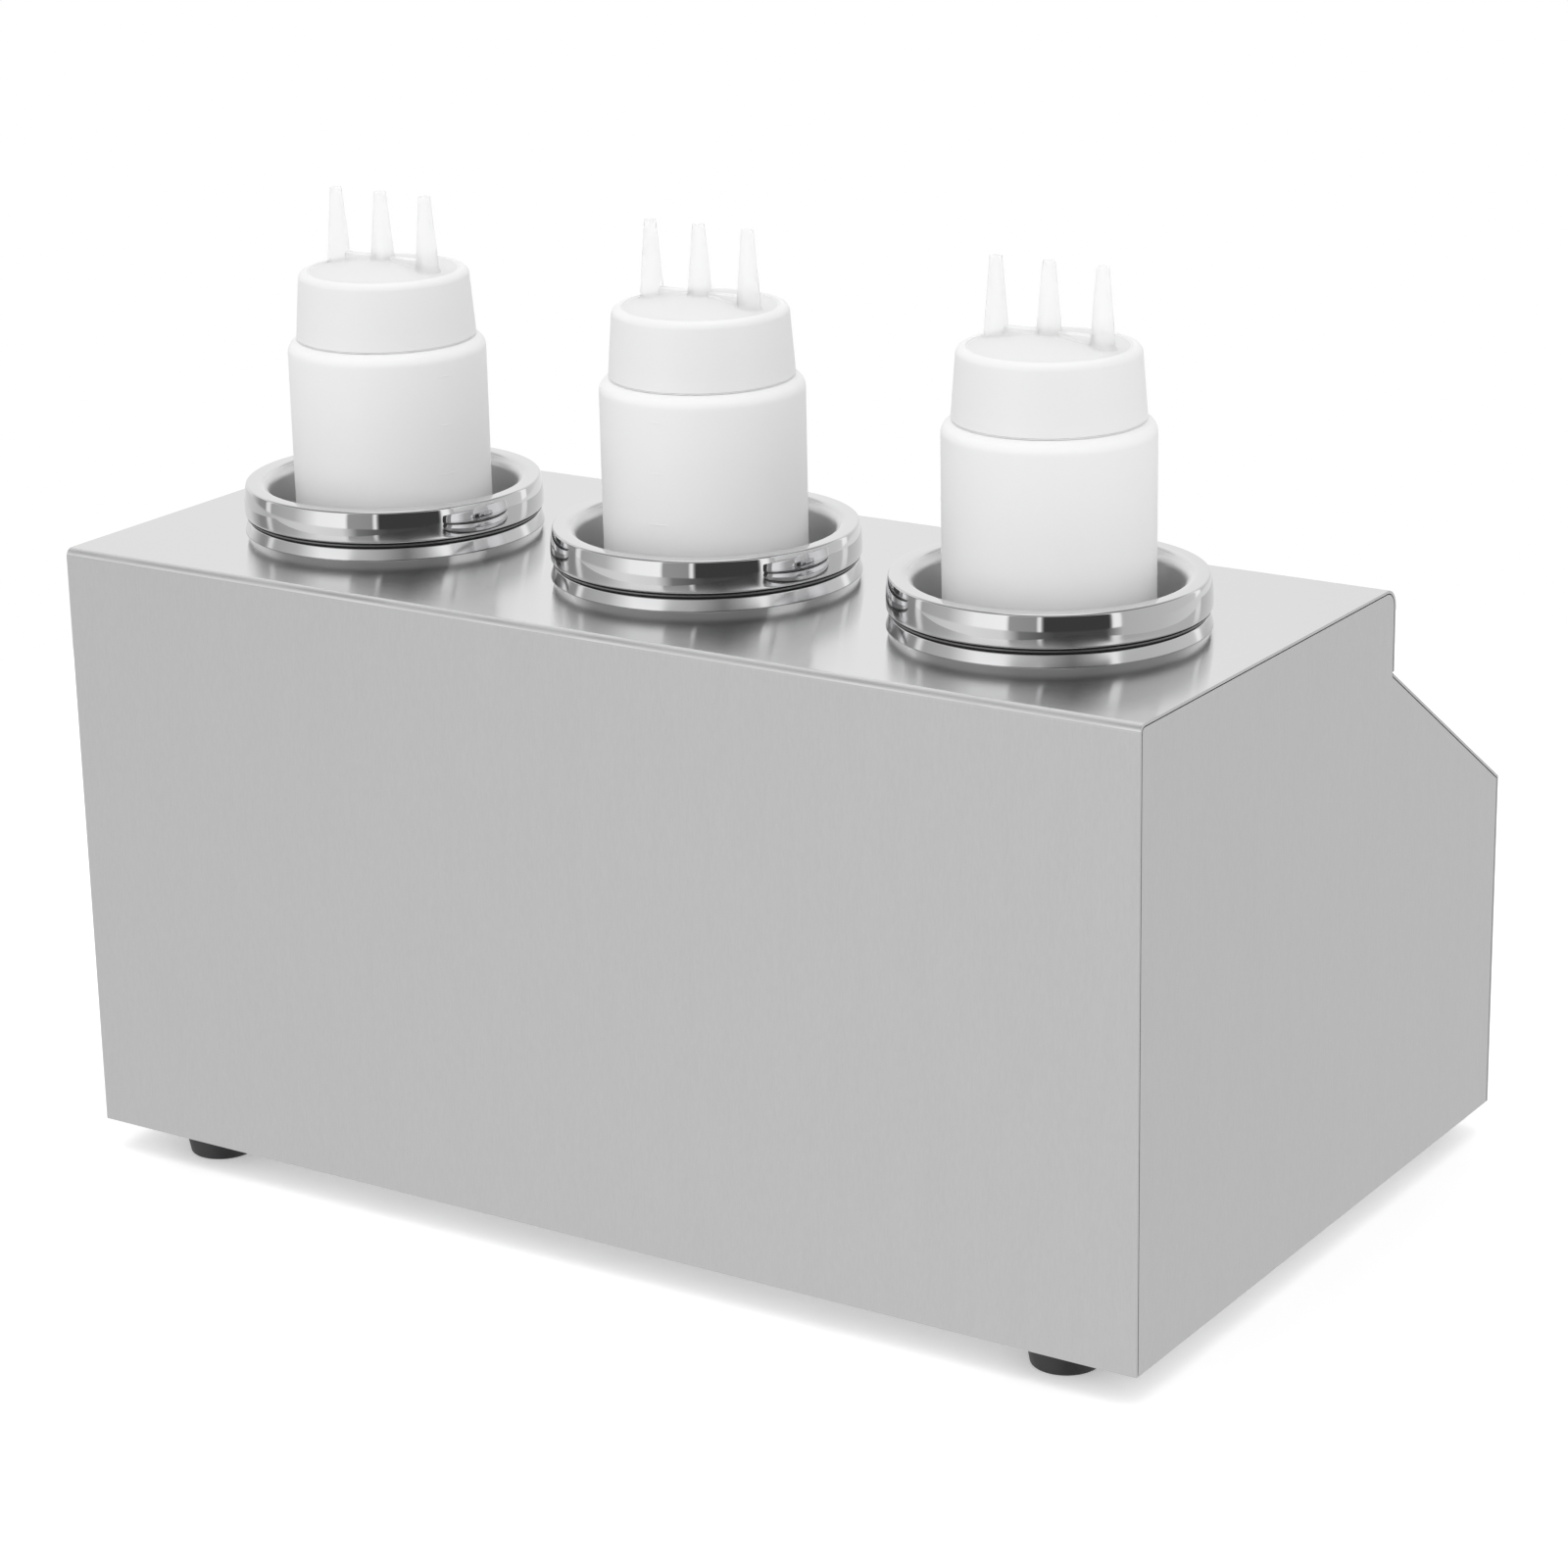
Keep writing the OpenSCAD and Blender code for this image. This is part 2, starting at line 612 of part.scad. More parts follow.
module bottle(i) {
    out_r = bottle_r;
    in_r = bottle_r - bottle_wall;
    punt_r = (bottle_r - heel_r)*punt_share;
    ridge_z = shoulder_z + (neck_top_z - shoulder_z)*ridge_share;
    ridges = [for (k = [-1:1]) let (z = ridge_z + k*ridge_pitch)
        each [[neck_r, z - ridge_h], [ridge_r, z - ridge_h/2], [ridge_r, z], [neck_r, z + ridge_h/2]]];
    outside = concat([[0, bottle_z + punt_h], [punt_r, bottle_z + punt_h], [punt_r + 2*punt_h, bottle_z]],
        arc([out_r - heel_r, bottle_z + heel_r], heel_r, -90, 0),
        arc([out_r - shoulder_r, shoulder_z - shoulder_r], shoulder_r, 0, 90),
        [[neck_r, shoulder_z]], ridges, [[neck_r, neck_top_z]]);
    inside = concat([[neck_r - neck_wall, neck_top_z], [neck_r - neck_wall, shoulder_z - bottle_wall]],
        arc([out_r - shoulder_r, shoulder_z - shoulder_r], shoulder_r - bottle_wall, 90, 0),
        arc([out_r - heel_r, bottle_z + heel_r], heel_r - bottle_wall, 0, -90),
        [[punt_r, bottle_z + punt_h + bottle_wall], [0, bottle_z + punt_h + bottle_wall]]);
    color(milky) translate([well_x(i), well_y, 0])
        rotate_extrude($fn = round_fn) polygon(concat(outside, inside));
}

module cap_seal(i) {
    color(pale) translate([well_x(i), well_y, neck_top_z]) difference() {
        cylinder(h = seal_t, r = cap_bore_r - seal_in, $fn = round_fn);
        translate([0, 0, -cut])
            cylinder(h = seal_t + 2*cut, r = cap_bore_r - seal_in - seal_w, $fn = round_fn);
    }
}

// Points of a smooth hill over a flat of radius r at level z, from its foot to its middle
function hill(r, z) = [for (k = [hill_points:-1:0])
    [r*k/hill_points, z + hill_h*(1 + cos(180*k/hill_points))/2]];

module cap(i) {
    flat_r = cap_top_d/2 - cap_edge_r;
    under_r = cap_bore_r - seal_in - seal_w - edge_relief;
    skirt = [[cap_bore_r, cap_z], [cap_d/2 - edge_relief/2, cap_z], [cap_d/2, cap_z + edge_relief/2]];
    top = arc([flat_r, cap_top_z - cap_edge_r], cap_edge_r, 0, 90);
    crown = hill(flat_r*hill_share, cap_top_z);
    hollow = hill(under_r, cap_under_z);
    under = concat([for (k = [hill_points:-1:0]) hollow[k]], [[cap_bore_r, cap_under_z]]);
    tip_z = cap_top_z + nozzle_h;
    web_z = cap_top_z + hill_h + web_rise;
    color(milky) translate([well_x(i), well_y, 0]) difference() {
        union() {
            rotate_extrude($fn = round_fn) polygon(concat(skirt, top, crown, under));
            for (k = [-1:1]) translate([k*nozzle_pitch, 0, cap_top_z - cap_top_t/2])
                cylinder(h = nozzle_h + cap_top_t/2, d1 = root_d, d2 = tip_d, $fn = small_fn);
            translate([-nozzle_pitch, -web_t/2, cap_top_z - cap_top_t/2])
                cube([2*nozzle_pitch, web_t, web_z - cap_top_z + cap_top_t/2]);
        }
        for (k = [-1:1]) translate([k*nozzle_pitch, 0, cap_under_z - cut])
            cylinder(h = tip_z - cap_under_z + 2*cut, d1 = root_d - 2*nozzle_wall,
                d2 = tip_d - 2*nozzle_wall, $fn = small_fn);
    }
}

module thermostat(i) {
    top = -sheet_t - panel_gap;
    color(cream) on_slope(well_x(i), knob_share) difference() {
        union() {
            translate([-thermostat_w/2, -thermostat_l/2, top - thermostat_h])
                cube([thermostat_w, thermostat_l, thermostat_h]);
            translate([0, 0, top - cut]) cylinder(h = cut - top + dial_t, r = thermo_bush_r, $fn = small_fn);
            translate([0, 0, dial_t]) cylinder(h = bush_nut_h, d = bush_nut_d, $fn = 6);
        }
        translate([0, 0, top - thermostat_h/2])
            cylinder(h = thermostat_h + bush_l, r = shaft_r + shaft_gap, $fn = small_fn);
    }
}

module shaft(i) {
    low = -sheet_t - panel_gap - thermostat_h/2 + 2*shaft_gap;
    color(bright) on_slope(well_x(i), knob_share) translate([0, 0, low])
        cylinder(h = shaft_top - low, r = shaft_r, $fn = small_fn);
}

module knob(i) {
    skirt_z = dial_t + knob_lift;
    body_d1 = knob_d*knob_body_share;
    body_d2 = knob_d*knob_top_share;
    color(black) on_slope(well_x(i), knob_share) difference() {
        translate([0, 0, skirt_z]) {
            cylinder(h = knob_skirt_h, d1 = knob_d, d2 = knob_d*knob_skirt_share, $fn = round_fn);
            translate([0, 0, knob_skirt_h])
                cylinder(h = knob_h*(1 - grip_h_share) - knob_skirt_h,
                    d1 = body_d1, d2 = body_d2, $fn = round_fn);
            intersection() {
                translate([0, 0, knob_skirt_h])
                    cylinder(h = knob_h - knob_skirt_h, d1 = body_d1, d2 = body_d2, $fn = round_fn);
                translate([-grip_w/2, -knob_d/2, 0]) cube([grip_w, knob_d, knob_h]);
            }
        }
        translate([0, 0, skirt_z - cut])
            cylinder(h = shaft_top - skirt_z + cut, r = shaft_r, $fn = small_fn);
        translate([0, 0, skirt_z - cut])
            cylinder(h = bush_nut_h + cut, d = bush_nut_d + nut_gap, $fn = small_fn);
        translate([-pointer_w/2, knob_d*pointer_share, skirt_z + knob_h - pointer_t])
            cube([pointer_w, knob_d, pointer_t + cut]);
    }
}

module dial_plate(i) {
    color(bright) on_slope(well_x(i), knob_share) difference() {
        cylinder(h = dial_t, d = dial_d, $fn = round_fn);
        translate([0, 0, -cut]) cylinder(h = dial_t + 2*cut, r = thermo_bush_r + hole_gap, $fn = small_fn);
    }
}

module pilot_lamp(i) {
    color(amber) on_slope(well_x(i), lamp_share) {
        translate([0, 0, -lamp_body_l])
            cylinder(h = lamp_body_l + cut, d = lamp_d*lamp_body_share, $fn = small_fn);
        cylinder(h = lamp_bezel_h, d1 = lamp_d + 2*lamp_bezel_w, d2 = lamp_d + lamp_bezel_w, $fn = small_fn);
        rotate_extrude($fn = small_fn) polygon(concat([[0, 0]], [for (k = [0:bend_steps])
            [lamp_d/2*cos(90*k/bend_steps), lamp_bezel_h + lamp_dome_h*sin(90*k/bend_steps)]]));
    }
}

module switch_body() {
    win_w = switch_w - 2*switch_rim_w;
    win_l = switch_l - 2*switch_rim_w;
    in_w = win_w - 2*sheet_t;
    in_l = win_l - 2*sheet_t;
    color(black) on_slope(switch_x, knob_share) {
        difference() {
            union() {
                translate([-switch_w/2, -switch_l/2, 0]) cube([switch_w, switch_l, switch_rim_h]);
                translate([-win_w/2, -win_l/2, -switch_depth]) cube([win_w, win_l, switch_depth + cut]);
            }
            translate([-in_w/2, -in_l/2, -switch_depth*switch_well_share])
                cube([in_w, in_l, switch_depth]);
            translate([0, 0, switch_rim_h - rocker_pivot_in]) rotate([0, 90, 0])
                cylinder(h = in_w + sheet_t, d = rocker_axle_d + 2*axle_gap, center = true, $fn = small_fn);
        }
        for (k = [-1:1]) translate([0, k*switch_tab_pitch, -switch_depth - switch_tab_h/2 + cut/2])
            cube([switch_tab_t, switch_tab_w, switch_tab_h + cut], center = true);
    }
}

// Rocker that turns on its own axle stubs, at rest on its off side
module switch_rocker() {
    in_w = switch_w - 2*switch_rim_w - 2*sheet_t - 2*switch_gap;
    in_l = switch_l - 2*switch_rim_w - 2*sheet_t - 2*switch_gap;
    half = in_l/2;
    rise = rocker_pivot_in + rocker_proud;
    color(black) on_slope(switch_x, knob_share) translate([0, 0, switch_rim_h - rocker_pivot_in])
        rotate([rocker_tilt, 0, 0]) {
            across(-in_w/2, in_w) polygon([for (p = rocker_shares) [p[0]*half, p[1]*rise]]);
            rotate([0, 90, 0])
                cylinder(h = in_w + 2*switch_gap + sheet_t/2, d = rocker_axle_d, center = true,
                    $fn = small_fn);
        }
}

module terminal_block() {
    pitch = block_w/block_ways;
    wall = block_d*block_wall_share;
    color(cream) translate([body_w*block_x_share, body_d*block_y_share, base_z + sheet_t + base_t])
        difference() {
            union() {
                translate([-block_w/2, -block_d/2, 0]) cube([block_w, block_d, block_h*block_step_share]);
                translate([-block_w/2, -wall/2, 0]) cube([block_w, wall, block_h]);
            }
            for (k = [0:block_ways - 1], e = [-1, 1])
                translate([(k + 1/2)*pitch - block_w/2, e*block_d*block_row_share, block_h*block_floor_share])
                    cylinder(h = block_h, d = block_screw_d, $fn = small_fn);
        }
}

// Bush that the supply cord enters through, snapped into the base plate
module cord_bush() {
    low = base_z - bush_drop;
    plate_z = base_z + sheet_t;
    color(black) translate([bush_x, bush_y, 0]) difference() {
        union() {
            translate([0, 0, low])
                cylinder(h = plate_z - bush_flange_h - low, r1 = bush_neck_r*bush_tip_share,
                    r2 = bush_neck_r, $fn = small_fn);
            translate([0, 0, plate_z - bush_flange_h])
                cylinder(h = bush_flange_h, d = bush_d, $fn = small_fn);
            translate([0, 0, plate_z - cut])
                cylinder(h = base_t + bush_up + cut, r = bush_neck_r, $fn = small_fn);
            translate([0, 0, plate_z + base_t])
                cylinder(h = bush_flange_h, r1 = bush_neck_r + sheet_t, r2 = bush_neck_r, $fn = small_fn);
        }
        translate([0, 0, low - cut])
            cylinder(h = plate_z + base_t + bush_up - low + 2*cut, d = cord_bore_d, $fn = small_fn);
    }
}

wrap_shell();
front_panel();
side_panel(-1);  // side_panel_left
side_panel(1);  // side_panel_right
base_plate();
foot(-1, 1);  // foot_rear_left
foot(1, 1);  // foot_rear_right
foot(-1, -1);  // foot_front_left
foot(1, -1);  // foot_front_right
foot_screws();
base_screws();
well(1);  // well_1
well(2);  // well_2
well(3);  // well_3
well_clamp(1);  // well_clamp_1
well_clamp(2);  // well_clamp_2
well_clamp(3);  // well_clamp_3
gasket(1);  // gasket_1
gasket(2);  // gasket_2
gasket(3);  // gasket_3
pot(1);  // pot_1
pot(2);  // pot_2
pot(3);  // pot_3
heater_band(1);  // heater_band_1
heater_band(2);  // heater_band_2
heater_band(3);  // heater_band_3
thermal_cutouts();
sensor(1);  // sensor_1
sensor(2);  // sensor_2
sensor(3);  // sensor_3
bulb_clips();
bottle(1);  // bottle_1
bottle(2);  // bottle_2
bottle(3);  // bottle_3
cap_seal(1);  // cap_seal_1
cap_seal(2);  // cap_seal_2
cap_seal(3);  // cap_seal_3
cap(1);  // cap_1
cap(2);  // cap_2
cap(3);  // cap_3
thermostat(1);  // thermostat_1
thermostat(2);  // thermostat_2
thermostat(3);  // thermostat_3
shaft(1);  // shaft_1
shaft(2);  // shaft_2
shaft(3);  // shaft_3
knob(1);  // knob_1
knob(2);  // knob_2
knob(3);  // knob_3
dial_plate(1);  // dial_plate_1
dial_plate(2);  // dial_plate_2
dial_plate(3);  // dial_plate_3
pilot_lamp(1);  // pilot_lamp_1
pilot_lamp(2);  // pilot_lamp_2
pilot_lamp(3);  // pilot_lamp_3
switch_body();
switch_rocker();
terminal_block();
cord_bush();
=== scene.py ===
import bpy
import bmesh
import json
import math
from mathutils import Matrix, Vector


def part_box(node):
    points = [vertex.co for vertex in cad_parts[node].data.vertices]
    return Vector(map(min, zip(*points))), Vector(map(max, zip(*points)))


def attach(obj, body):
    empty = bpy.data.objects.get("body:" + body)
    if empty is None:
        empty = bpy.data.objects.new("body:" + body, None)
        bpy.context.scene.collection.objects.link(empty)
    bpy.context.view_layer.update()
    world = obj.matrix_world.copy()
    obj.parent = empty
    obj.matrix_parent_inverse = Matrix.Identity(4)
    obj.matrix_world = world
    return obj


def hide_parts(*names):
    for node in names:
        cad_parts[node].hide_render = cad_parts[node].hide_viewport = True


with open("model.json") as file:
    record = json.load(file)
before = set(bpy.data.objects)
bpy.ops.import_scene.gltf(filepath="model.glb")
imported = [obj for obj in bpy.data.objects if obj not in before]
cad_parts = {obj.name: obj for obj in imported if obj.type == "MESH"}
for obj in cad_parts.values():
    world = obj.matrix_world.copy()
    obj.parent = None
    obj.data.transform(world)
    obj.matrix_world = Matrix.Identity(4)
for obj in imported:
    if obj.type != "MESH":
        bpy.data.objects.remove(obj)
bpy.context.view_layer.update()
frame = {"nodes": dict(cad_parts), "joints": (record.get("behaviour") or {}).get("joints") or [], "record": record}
mm = 0.001
wells = (1, 2, 3)
mergeGap = 0.01 * mm  # vertices of a CAD node that lie closer are one


# the frame gives every place: levels and centres come from the CAD boxes
def lowOf(node):
    return Vector(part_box(node)[0])


def highOf(node):
    return Vector(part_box(node)[1])


def middle(node):
    return (lowOf(node) + highOf(node)) / 2


def jointOf(name):
    return next(j for j in frame["joints"] if j["name"] == name)


deckZ = highOf("wrap_shell").z
slopeNormal = Vector(jointOf("knob_2_turn")["axis"]).normalized()


def linked(name, data):
    obj = bpy.data.objects.new(name, data)
    bpy.context.collection.objects.link(obj)
    return obj


# one math node of a material, world or geometry tree; each input is a number or a socket
def mathNode(tree, kind, first, second):
    node = tree.nodes.new("ShaderNodeMath")
    node.operation = kind
    for socket, value in zip(node.inputs, (first, second)):
        if isinstance(value, (int, float)):
            socket.default_value = value
        else:
            tree.links.new(value, socket)
    return node.outputs[0]


# camera fitted to the photo: yaw from -Y, pitch down, roll, all in degrees
def addCamera():
    cam = {"place": (-0.84843, 1.29991, 0.64793), "yaw": 33.2, "pitch": 17.998, "roll": -1.159,
           "lens": 99.834, "sensor": 36, "sight": 60}
    data = bpy.data.cameras.new("photoCamera")
    data.lens = cam["lens"]
    data.sensor_width = cam["sensor"]
    data.clip_end = cam["sight"]
    obj = linked("photoCamera", data)
    yaw, pitch, roll = (math.radians(cam[k]) for k in ("yaw", "pitch", "roll"))
    ahead = Vector((math.sin(yaw) * math.cos(pitch), -math.cos(yaw) * math.cos(pitch), -math.sin(pitch)))
    right = ahead.cross(Vector((0, 0, 1))).normalized()
    up = right.cross(ahead)
    rightRolled = right * math.cos(roll) + up * math.sin(roll)
    upRolled = up * math.cos(roll) - right * math.sin(roll)
    turn = Matrix((rightRolled, upRolled, -ahead)).transposed().to_4x4()
    obj.matrix_world = Matrix.Translation(cam["place"]) @ turn
    bpy.context.scene.camera = obj


# studio: a pale floor under a sky that is set by direction, as soft boxes and dark flats would stand
def addStudio():
    studio = {"facing": 123.2, "zenith": 1.1, "white": 1.0, "dull": -0.04, "aim": (0, 0, 0.22)}
    # brightness by bearing, in degrees from the camera's side; positive bearings lie to the right
    level = [(-180, 0.9), (-140, 0.8), (-120, 0.3), (-111, 0.3), (-109, 0.85), (-105, 0.85),
             (-103, 0.4), (-78, 0.5), (-56, 1.0), (-33, 1.05), (-31, 0.34), (-12, 0.3), (-11, 0.95),
             (-9.5, 0.95), (-8, 0.05), (39, 0.05), (41, 1.0), (46, 1.0), (48, 0.5), (80, 0.55),
             (112, 0.62), (118, 0.66), (120, 1.0), (126, 1.0), (128, 0.6), (152, 0.75), (180, 0.9)]
    band = [(-180, 0.92), (-130, 0.75), (-95, 0.5), (-60, 0.95), (-35, 0.95), (-28, 0.6), (-5, 0.4),
            (13, 0.2), (28, 0.45), (41, 1.0), (47, 1.0), (50, 0.6), (115, 0.62), (150, 0.8), (180, 0.92)]
    raised = [(-180, 0.8), (-140, 0.5), (-110, 0.28), (-60, 0.3), (-28, 0.24), (38, 0.2), (60, 0.25),
              (115, 0.3), (145, 0.5), (180, 0.8)]
    below = [(-180, 0.85), (-110, 0.5), (-60, 0.8), (-36, 0.75), (-24, 0.2), (0, 0.07), (36, 0.07),
             (48, 0.5), (80, 0.55), (130, 0.75), (180, 0.85)]
    # heights, as sines of the elevation, between which one belt of the sky fades into the next
    fades = {"band": (0.3, 0.34), "raised": (0.5, 0.6), "below": (-0.13, -0.1), "zenith": (0.92, 0.98)}
    scene = bpy.context.scene
    scene.view_settings.view_transform = "Standard"
    world = bpy.data.worlds.new("studio")
    scene.world = world
    world.cycles.sampling_method = "NONE"
    world.use_nodes = True
    tree = world.node_tree
    nodes, links = tree.nodes, tree.links
    nodes.clear()

    def bearingRamp(value, stops):
        node = nodes.new("ShaderNodeValToRGB")
        ramp = node.color_ramp.elements
        ramp[0].position, ramp[1].position = 0.0, 1.0
        ramp[0].color = (stops[0][1],) * 3 + (1,)
        ramp[1].color = (stops[-1][1],) * 3 + (1,)
        for bearing, tone in stops[1:-1]:
            ramp.new((bearing + 180) / 360).color = (tone, tone, tone, 1)
        links.new(value, node.inputs[0])
        return node.outputs[0]

    def between(value, fade, first, second):
        share = nodes.new("ShaderNodeMapRange")
        share.interpolation_type = "SMOOTHSTEP"
        share.inputs["From Min"].default_value, share.inputs["From Max"].default_value = fade
        links.new(value, share.inputs["Value"])
        mix = nodes.new("ShaderNodeMix")
        mix.data_type = "RGBA"
        links.new(share.outputs["Result"], mix.inputs[0])
        for socket, source in ((mix.inputs[6], first), (mix.inputs[7], second)):
            if isinstance(source, float):
                socket.default_value = (source, source, source, 1)
            else:
                links.new(source, socket)
        return mix.outputs[2]

    coord = nodes.new("ShaderNodeTexCoord")
    turned = nodes.new("ShaderNodeVectorRotate")
    turned.rotation_type = "Z_AXIS"
    turned.inputs["Angle"].default_value = -math.radians(studio["facing"])
    split = nodes.new("ShaderNodeSeparateXYZ")
    links.new(coord.outputs["Generated"], turned.inputs["Vector"])
    links.new(turned.outputs["Vector"], split.inputs[0])
    bearing = mathNode(tree, "ARCTAN2", split.outputs["Y"], split.outputs["X"])
    part = mathNode(tree, "ADD", mathNode(tree, "DIVIDE", bearing, 2 * math.pi), 0.5)
    height = split.outputs["Z"]
    sky = between(height, fades["band"], bearingRamp(part, level), bearingRamp(part, band))
    sky = between(height, fades["raised"], sky, bearingRamp(part, raised))
    sky = between(height, fades["below"], bearingRamp(part, below), sky)
    sky = between(height, fades["zenith"], sky, studio["zenith"])
    out = nodes.new("ShaderNodeOutputWorld")
    lit = nodes.new("ShaderNodeBackground")
    white = nodes.new("ShaderNodeBackground")
    mix = nodes.new("ShaderNodeMixShader")
    path = nodes.new("ShaderNodeLightPath")
    white.inputs[0].default_value = (1, 1, 1, 1)
    onDull = mathNode(tree, "MULTIPLY", path.outputs["Is Diffuse Ray"], studio["dull"])
    links.new(mathNode(tree, "ADD", onDull, studio["white"]), white.inputs[1])
    links.new(sky, lit.inputs[0])
    # what is looked at, looked through or dull gets an even white room; mirrors get the sky above
    seen = mathNode(tree, "MAXIMUM", path.outputs["Is Camera Ray"], path.outputs["Is Transmission Ray"])
    links.new(mathNode(tree, "MAXIMUM", seen, path.outputs["Is Diffuse Ray"]), mix.inputs[0])
    links.new(lit.outputs[0], mix.inputs[1])
    links.new(white.outputs[0], mix.inputs[2])
    links.new(mix.outputs[0], out.inputs[0])
    addFloor()

    # the lamps brighten what is dull, and stay out of the mirrors
    lamps = {
        "ceilingBox": {"place": (0.1, 0.3, 2.3), "size": (2.6, 2.0), "power": 14},
        "fillBox": {"place": (-1.0, 1.9, 1.3), "size": (1.8, 1.4), "power": 4},
    }
    for name, lamp in lamps.items():
        light = bpy.data.lights.new(name, "AREA")
        light.shape = "RECTANGLE"
        light.size, light.size_y = lamp["size"]
        light.energy = lamp["power"]
        obj = linked(name, light)
        obj.visible_glossy = False
        aim = (Vector(studio["aim"]) - Vector(lamp["place"])).to_track_quat("-Z", "Y")
        obj.matrix_world = Matrix.Translation(lamp["place"]) @ aim.to_matrix().to_4x4()
    print("studio ready")


# the floor glows a little for the camera, so that it is white and still keeps the shadow
def addFloor():
    floor = {"radius": 0.8, "sides": 96, "tone": 0.9, "rough": 0.9, "gloss": 0.1, "lift": 0.3}
    mat, paint = shader("floorPaint", (floor["tone"],) * 3, floor["rough"])
    paint.inputs["Specular IOR Level"].default_value = floor["gloss"]
    paint.inputs["Emission Color"].default_value = (1, 1, 1, 1)
    path = mat.node_tree.nodes.new("ShaderNodeLightPath")
    glow = mathNode(mat.node_tree, "MULTIPLY", path.outputs["Is Camera Ray"], floor["lift"])
    mat.node_tree.links.new(glow, paint.inputs["Emission Strength"])
    disc = bmesh.new()
    bmesh.ops.create_circle(disc, cap_ends=True, segments=floor["sides"], radius=floor["radius"])
    obj = linked("floor", plainMesh("floor", disc, [mat]))
    obj.visible_glossy = False


# materials
def shader(name, color, rough, metal=0.0):
    mat = bpy.data.materials.new(name)
    mat.use_nodes = True
    bsdf = mat.node_tree.nodes["Principled BSDF"]
    bsdf.inputs["Base Color"].default_value = tuple(color) + (1,)
    bsdf.inputs["Roughness"].default_value = rough
    bsdf.inputs["Metallic"].default_value = metal
    return mat, bsdf


def noiseOn(mat, scale, detail, stretch=(1, 1, 1), rough=0.5):
    nodes, links = mat.node_tree.nodes, mat.node_tree.links
    coord = nodes.new("ShaderNodeTexCoord")
    mapping = nodes.new("ShaderNodeMapping")
    mapping.inputs["Scale"].default_value = stretch
    noise = nodes.new("ShaderNodeTexNoise")
    noise.inputs["Scale"].default_value = scale
    noise.inputs["Detail"].default_value = detail
    noise.inputs["Roughness"].default_value = rough
    links.new(coord.outputs["Object"], mapping.inputs[0])
    links.new(mapping.outputs[0], noise.inputs["Vector"])
    return noise.outputs["Fac"]


# a noise moves the roughness between two values; nearly all of it lies inside its usual range
def roughen(mat, bsdf, value, least, most):
    usual = (0.25, 0.75)
    node = mat.node_tree.nodes.new("ShaderNodeMapRange")
    node.inputs["From Min"].default_value, node.inputs["From Max"].default_value = usual
    node.inputs["To Min"].default_value, node.inputs["To Max"].default_value = least, most
    mat.node_tree.links.new(value, node.inputs["Value"])
    mat.node_tree.links.new(node.outputs["Result"], bsdf.inputs["Roughness"])


def tint(mat, bsdf, value, dark, light):
    node = mat.node_tree.nodes.new("ShaderNodeMix")
    node.data_type = "RGBA"
    node.inputs[6].default_value = tuple(dark) + (1,)
    node.inputs[7].default_value = tuple(light) + (1,)
    mat.node_tree.links.new(value, node.inputs[0])
    mat.node_tree.links.new(node.outputs[2], bsdf.inputs["Base Color"])


def addBump(mat, bsdf, value, strength, distance):
    bump = mat.node_tree.nodes.new("ShaderNodeBump")
    bump.inputs["Strength"].default_value = strength
    bump.inputs["Distance"].default_value = distance
    mat.node_tree.links.new(value, bump.inputs["Height"])
    mat.node_tree.links.new(bump.outputs[0], bsdf.inputs["Normal"])


# brushed sheet: fine streaks along one axis, in tone, roughness and relief
def brushedSheet(name, tone, along, rough, relief, contrast=0.05, smear=0.0, metal=1.0):
    streak = {"scale": 1500, "detail": 2.0, "squeeze": 0.2, "rough": 0.6, "depth": 0.01 * mm}
    patch = {"scale": 300, "detail": 2.0, "squeeze": 0.08, "least": 0.97, "most": 1.03}
    mat, bsdf = shader(name, (tone,) * 3, rough, metal)
    if smear:
        # the brush lines smear what the sheet mirrors across them, and keep it sharp along them
        way = mat.node_tree.nodes.new("ShaderNodeCombineXYZ")
        way.inputs["Y" if along == "X" else "X"].default_value = 1
        bsdf.inputs["Anisotropic"].default_value = smear
        mat.node_tree.links.new(way.outputs[0], bsdf.inputs["Tangent"])

    def stretch(squeeze):
        return [squeeze if axis == along else 1.0 for axis in "XYZ"]
    fine = noiseOn(mat, streak["scale"], streak["detail"], stretch(streak["squeeze"]), streak["rough"])
    broad = noiseOn(mat, patch["scale"], patch["detail"], stretch(patch["squeeze"]))
    tint(mat, bsdf, fine, (tone * (1 - contrast),) * 3, (min(1, tone * (1 + contrast)),) * 3)
    roughen(mat, bsdf, broad, rough * patch["least"], rough * patch["most"])
    addBump(mat, bsdf, fine, relief, streak["depth"])
    return mat


def polishedSteel(name, tone, rough):
    haze = {"scale": 22, "detail": 4.0, "least": 0.7, "most": 1.5, "blue": 1.01}
    mat, bsdf = shader(name, (tone, tone, tone * haze["blue"]), rough, 1.0)
    value = noiseOn(mat, haze["scale"], haze["detail"])
    roughen(mat, bsdf, value, rough * haze["least"], rough * haze["most"])
    return mat


def milkyPlastic(name, tone, clear, rough, bend=1.3):
    cloud = {"scale": 35, "detail": 3.0, "stretch": (1, 1, 0.4), "dim": 0.985, "least": 0.9, "most": 1.15,
             "gloss": 0.35}
    mat, bsdf = shader(name, (tone,) * 3, rough)
    bsdf.inputs["Transmission Weight"].default_value = clear
    bsdf.inputs["IOR"].default_value = bend
    bsdf.inputs["Specular IOR Level"].default_value = cloud["gloss"]
    value = noiseOn(mat, cloud["scale"], cloud["detail"], cloud["stretch"])
    tint(mat, bsdf, value, (tone * cloud["dim"],) * 3, (tone,) * 3)
    roughen(mat, bsdf, value, rough * cloud["least"], rough * cloud["most"])
    return mat


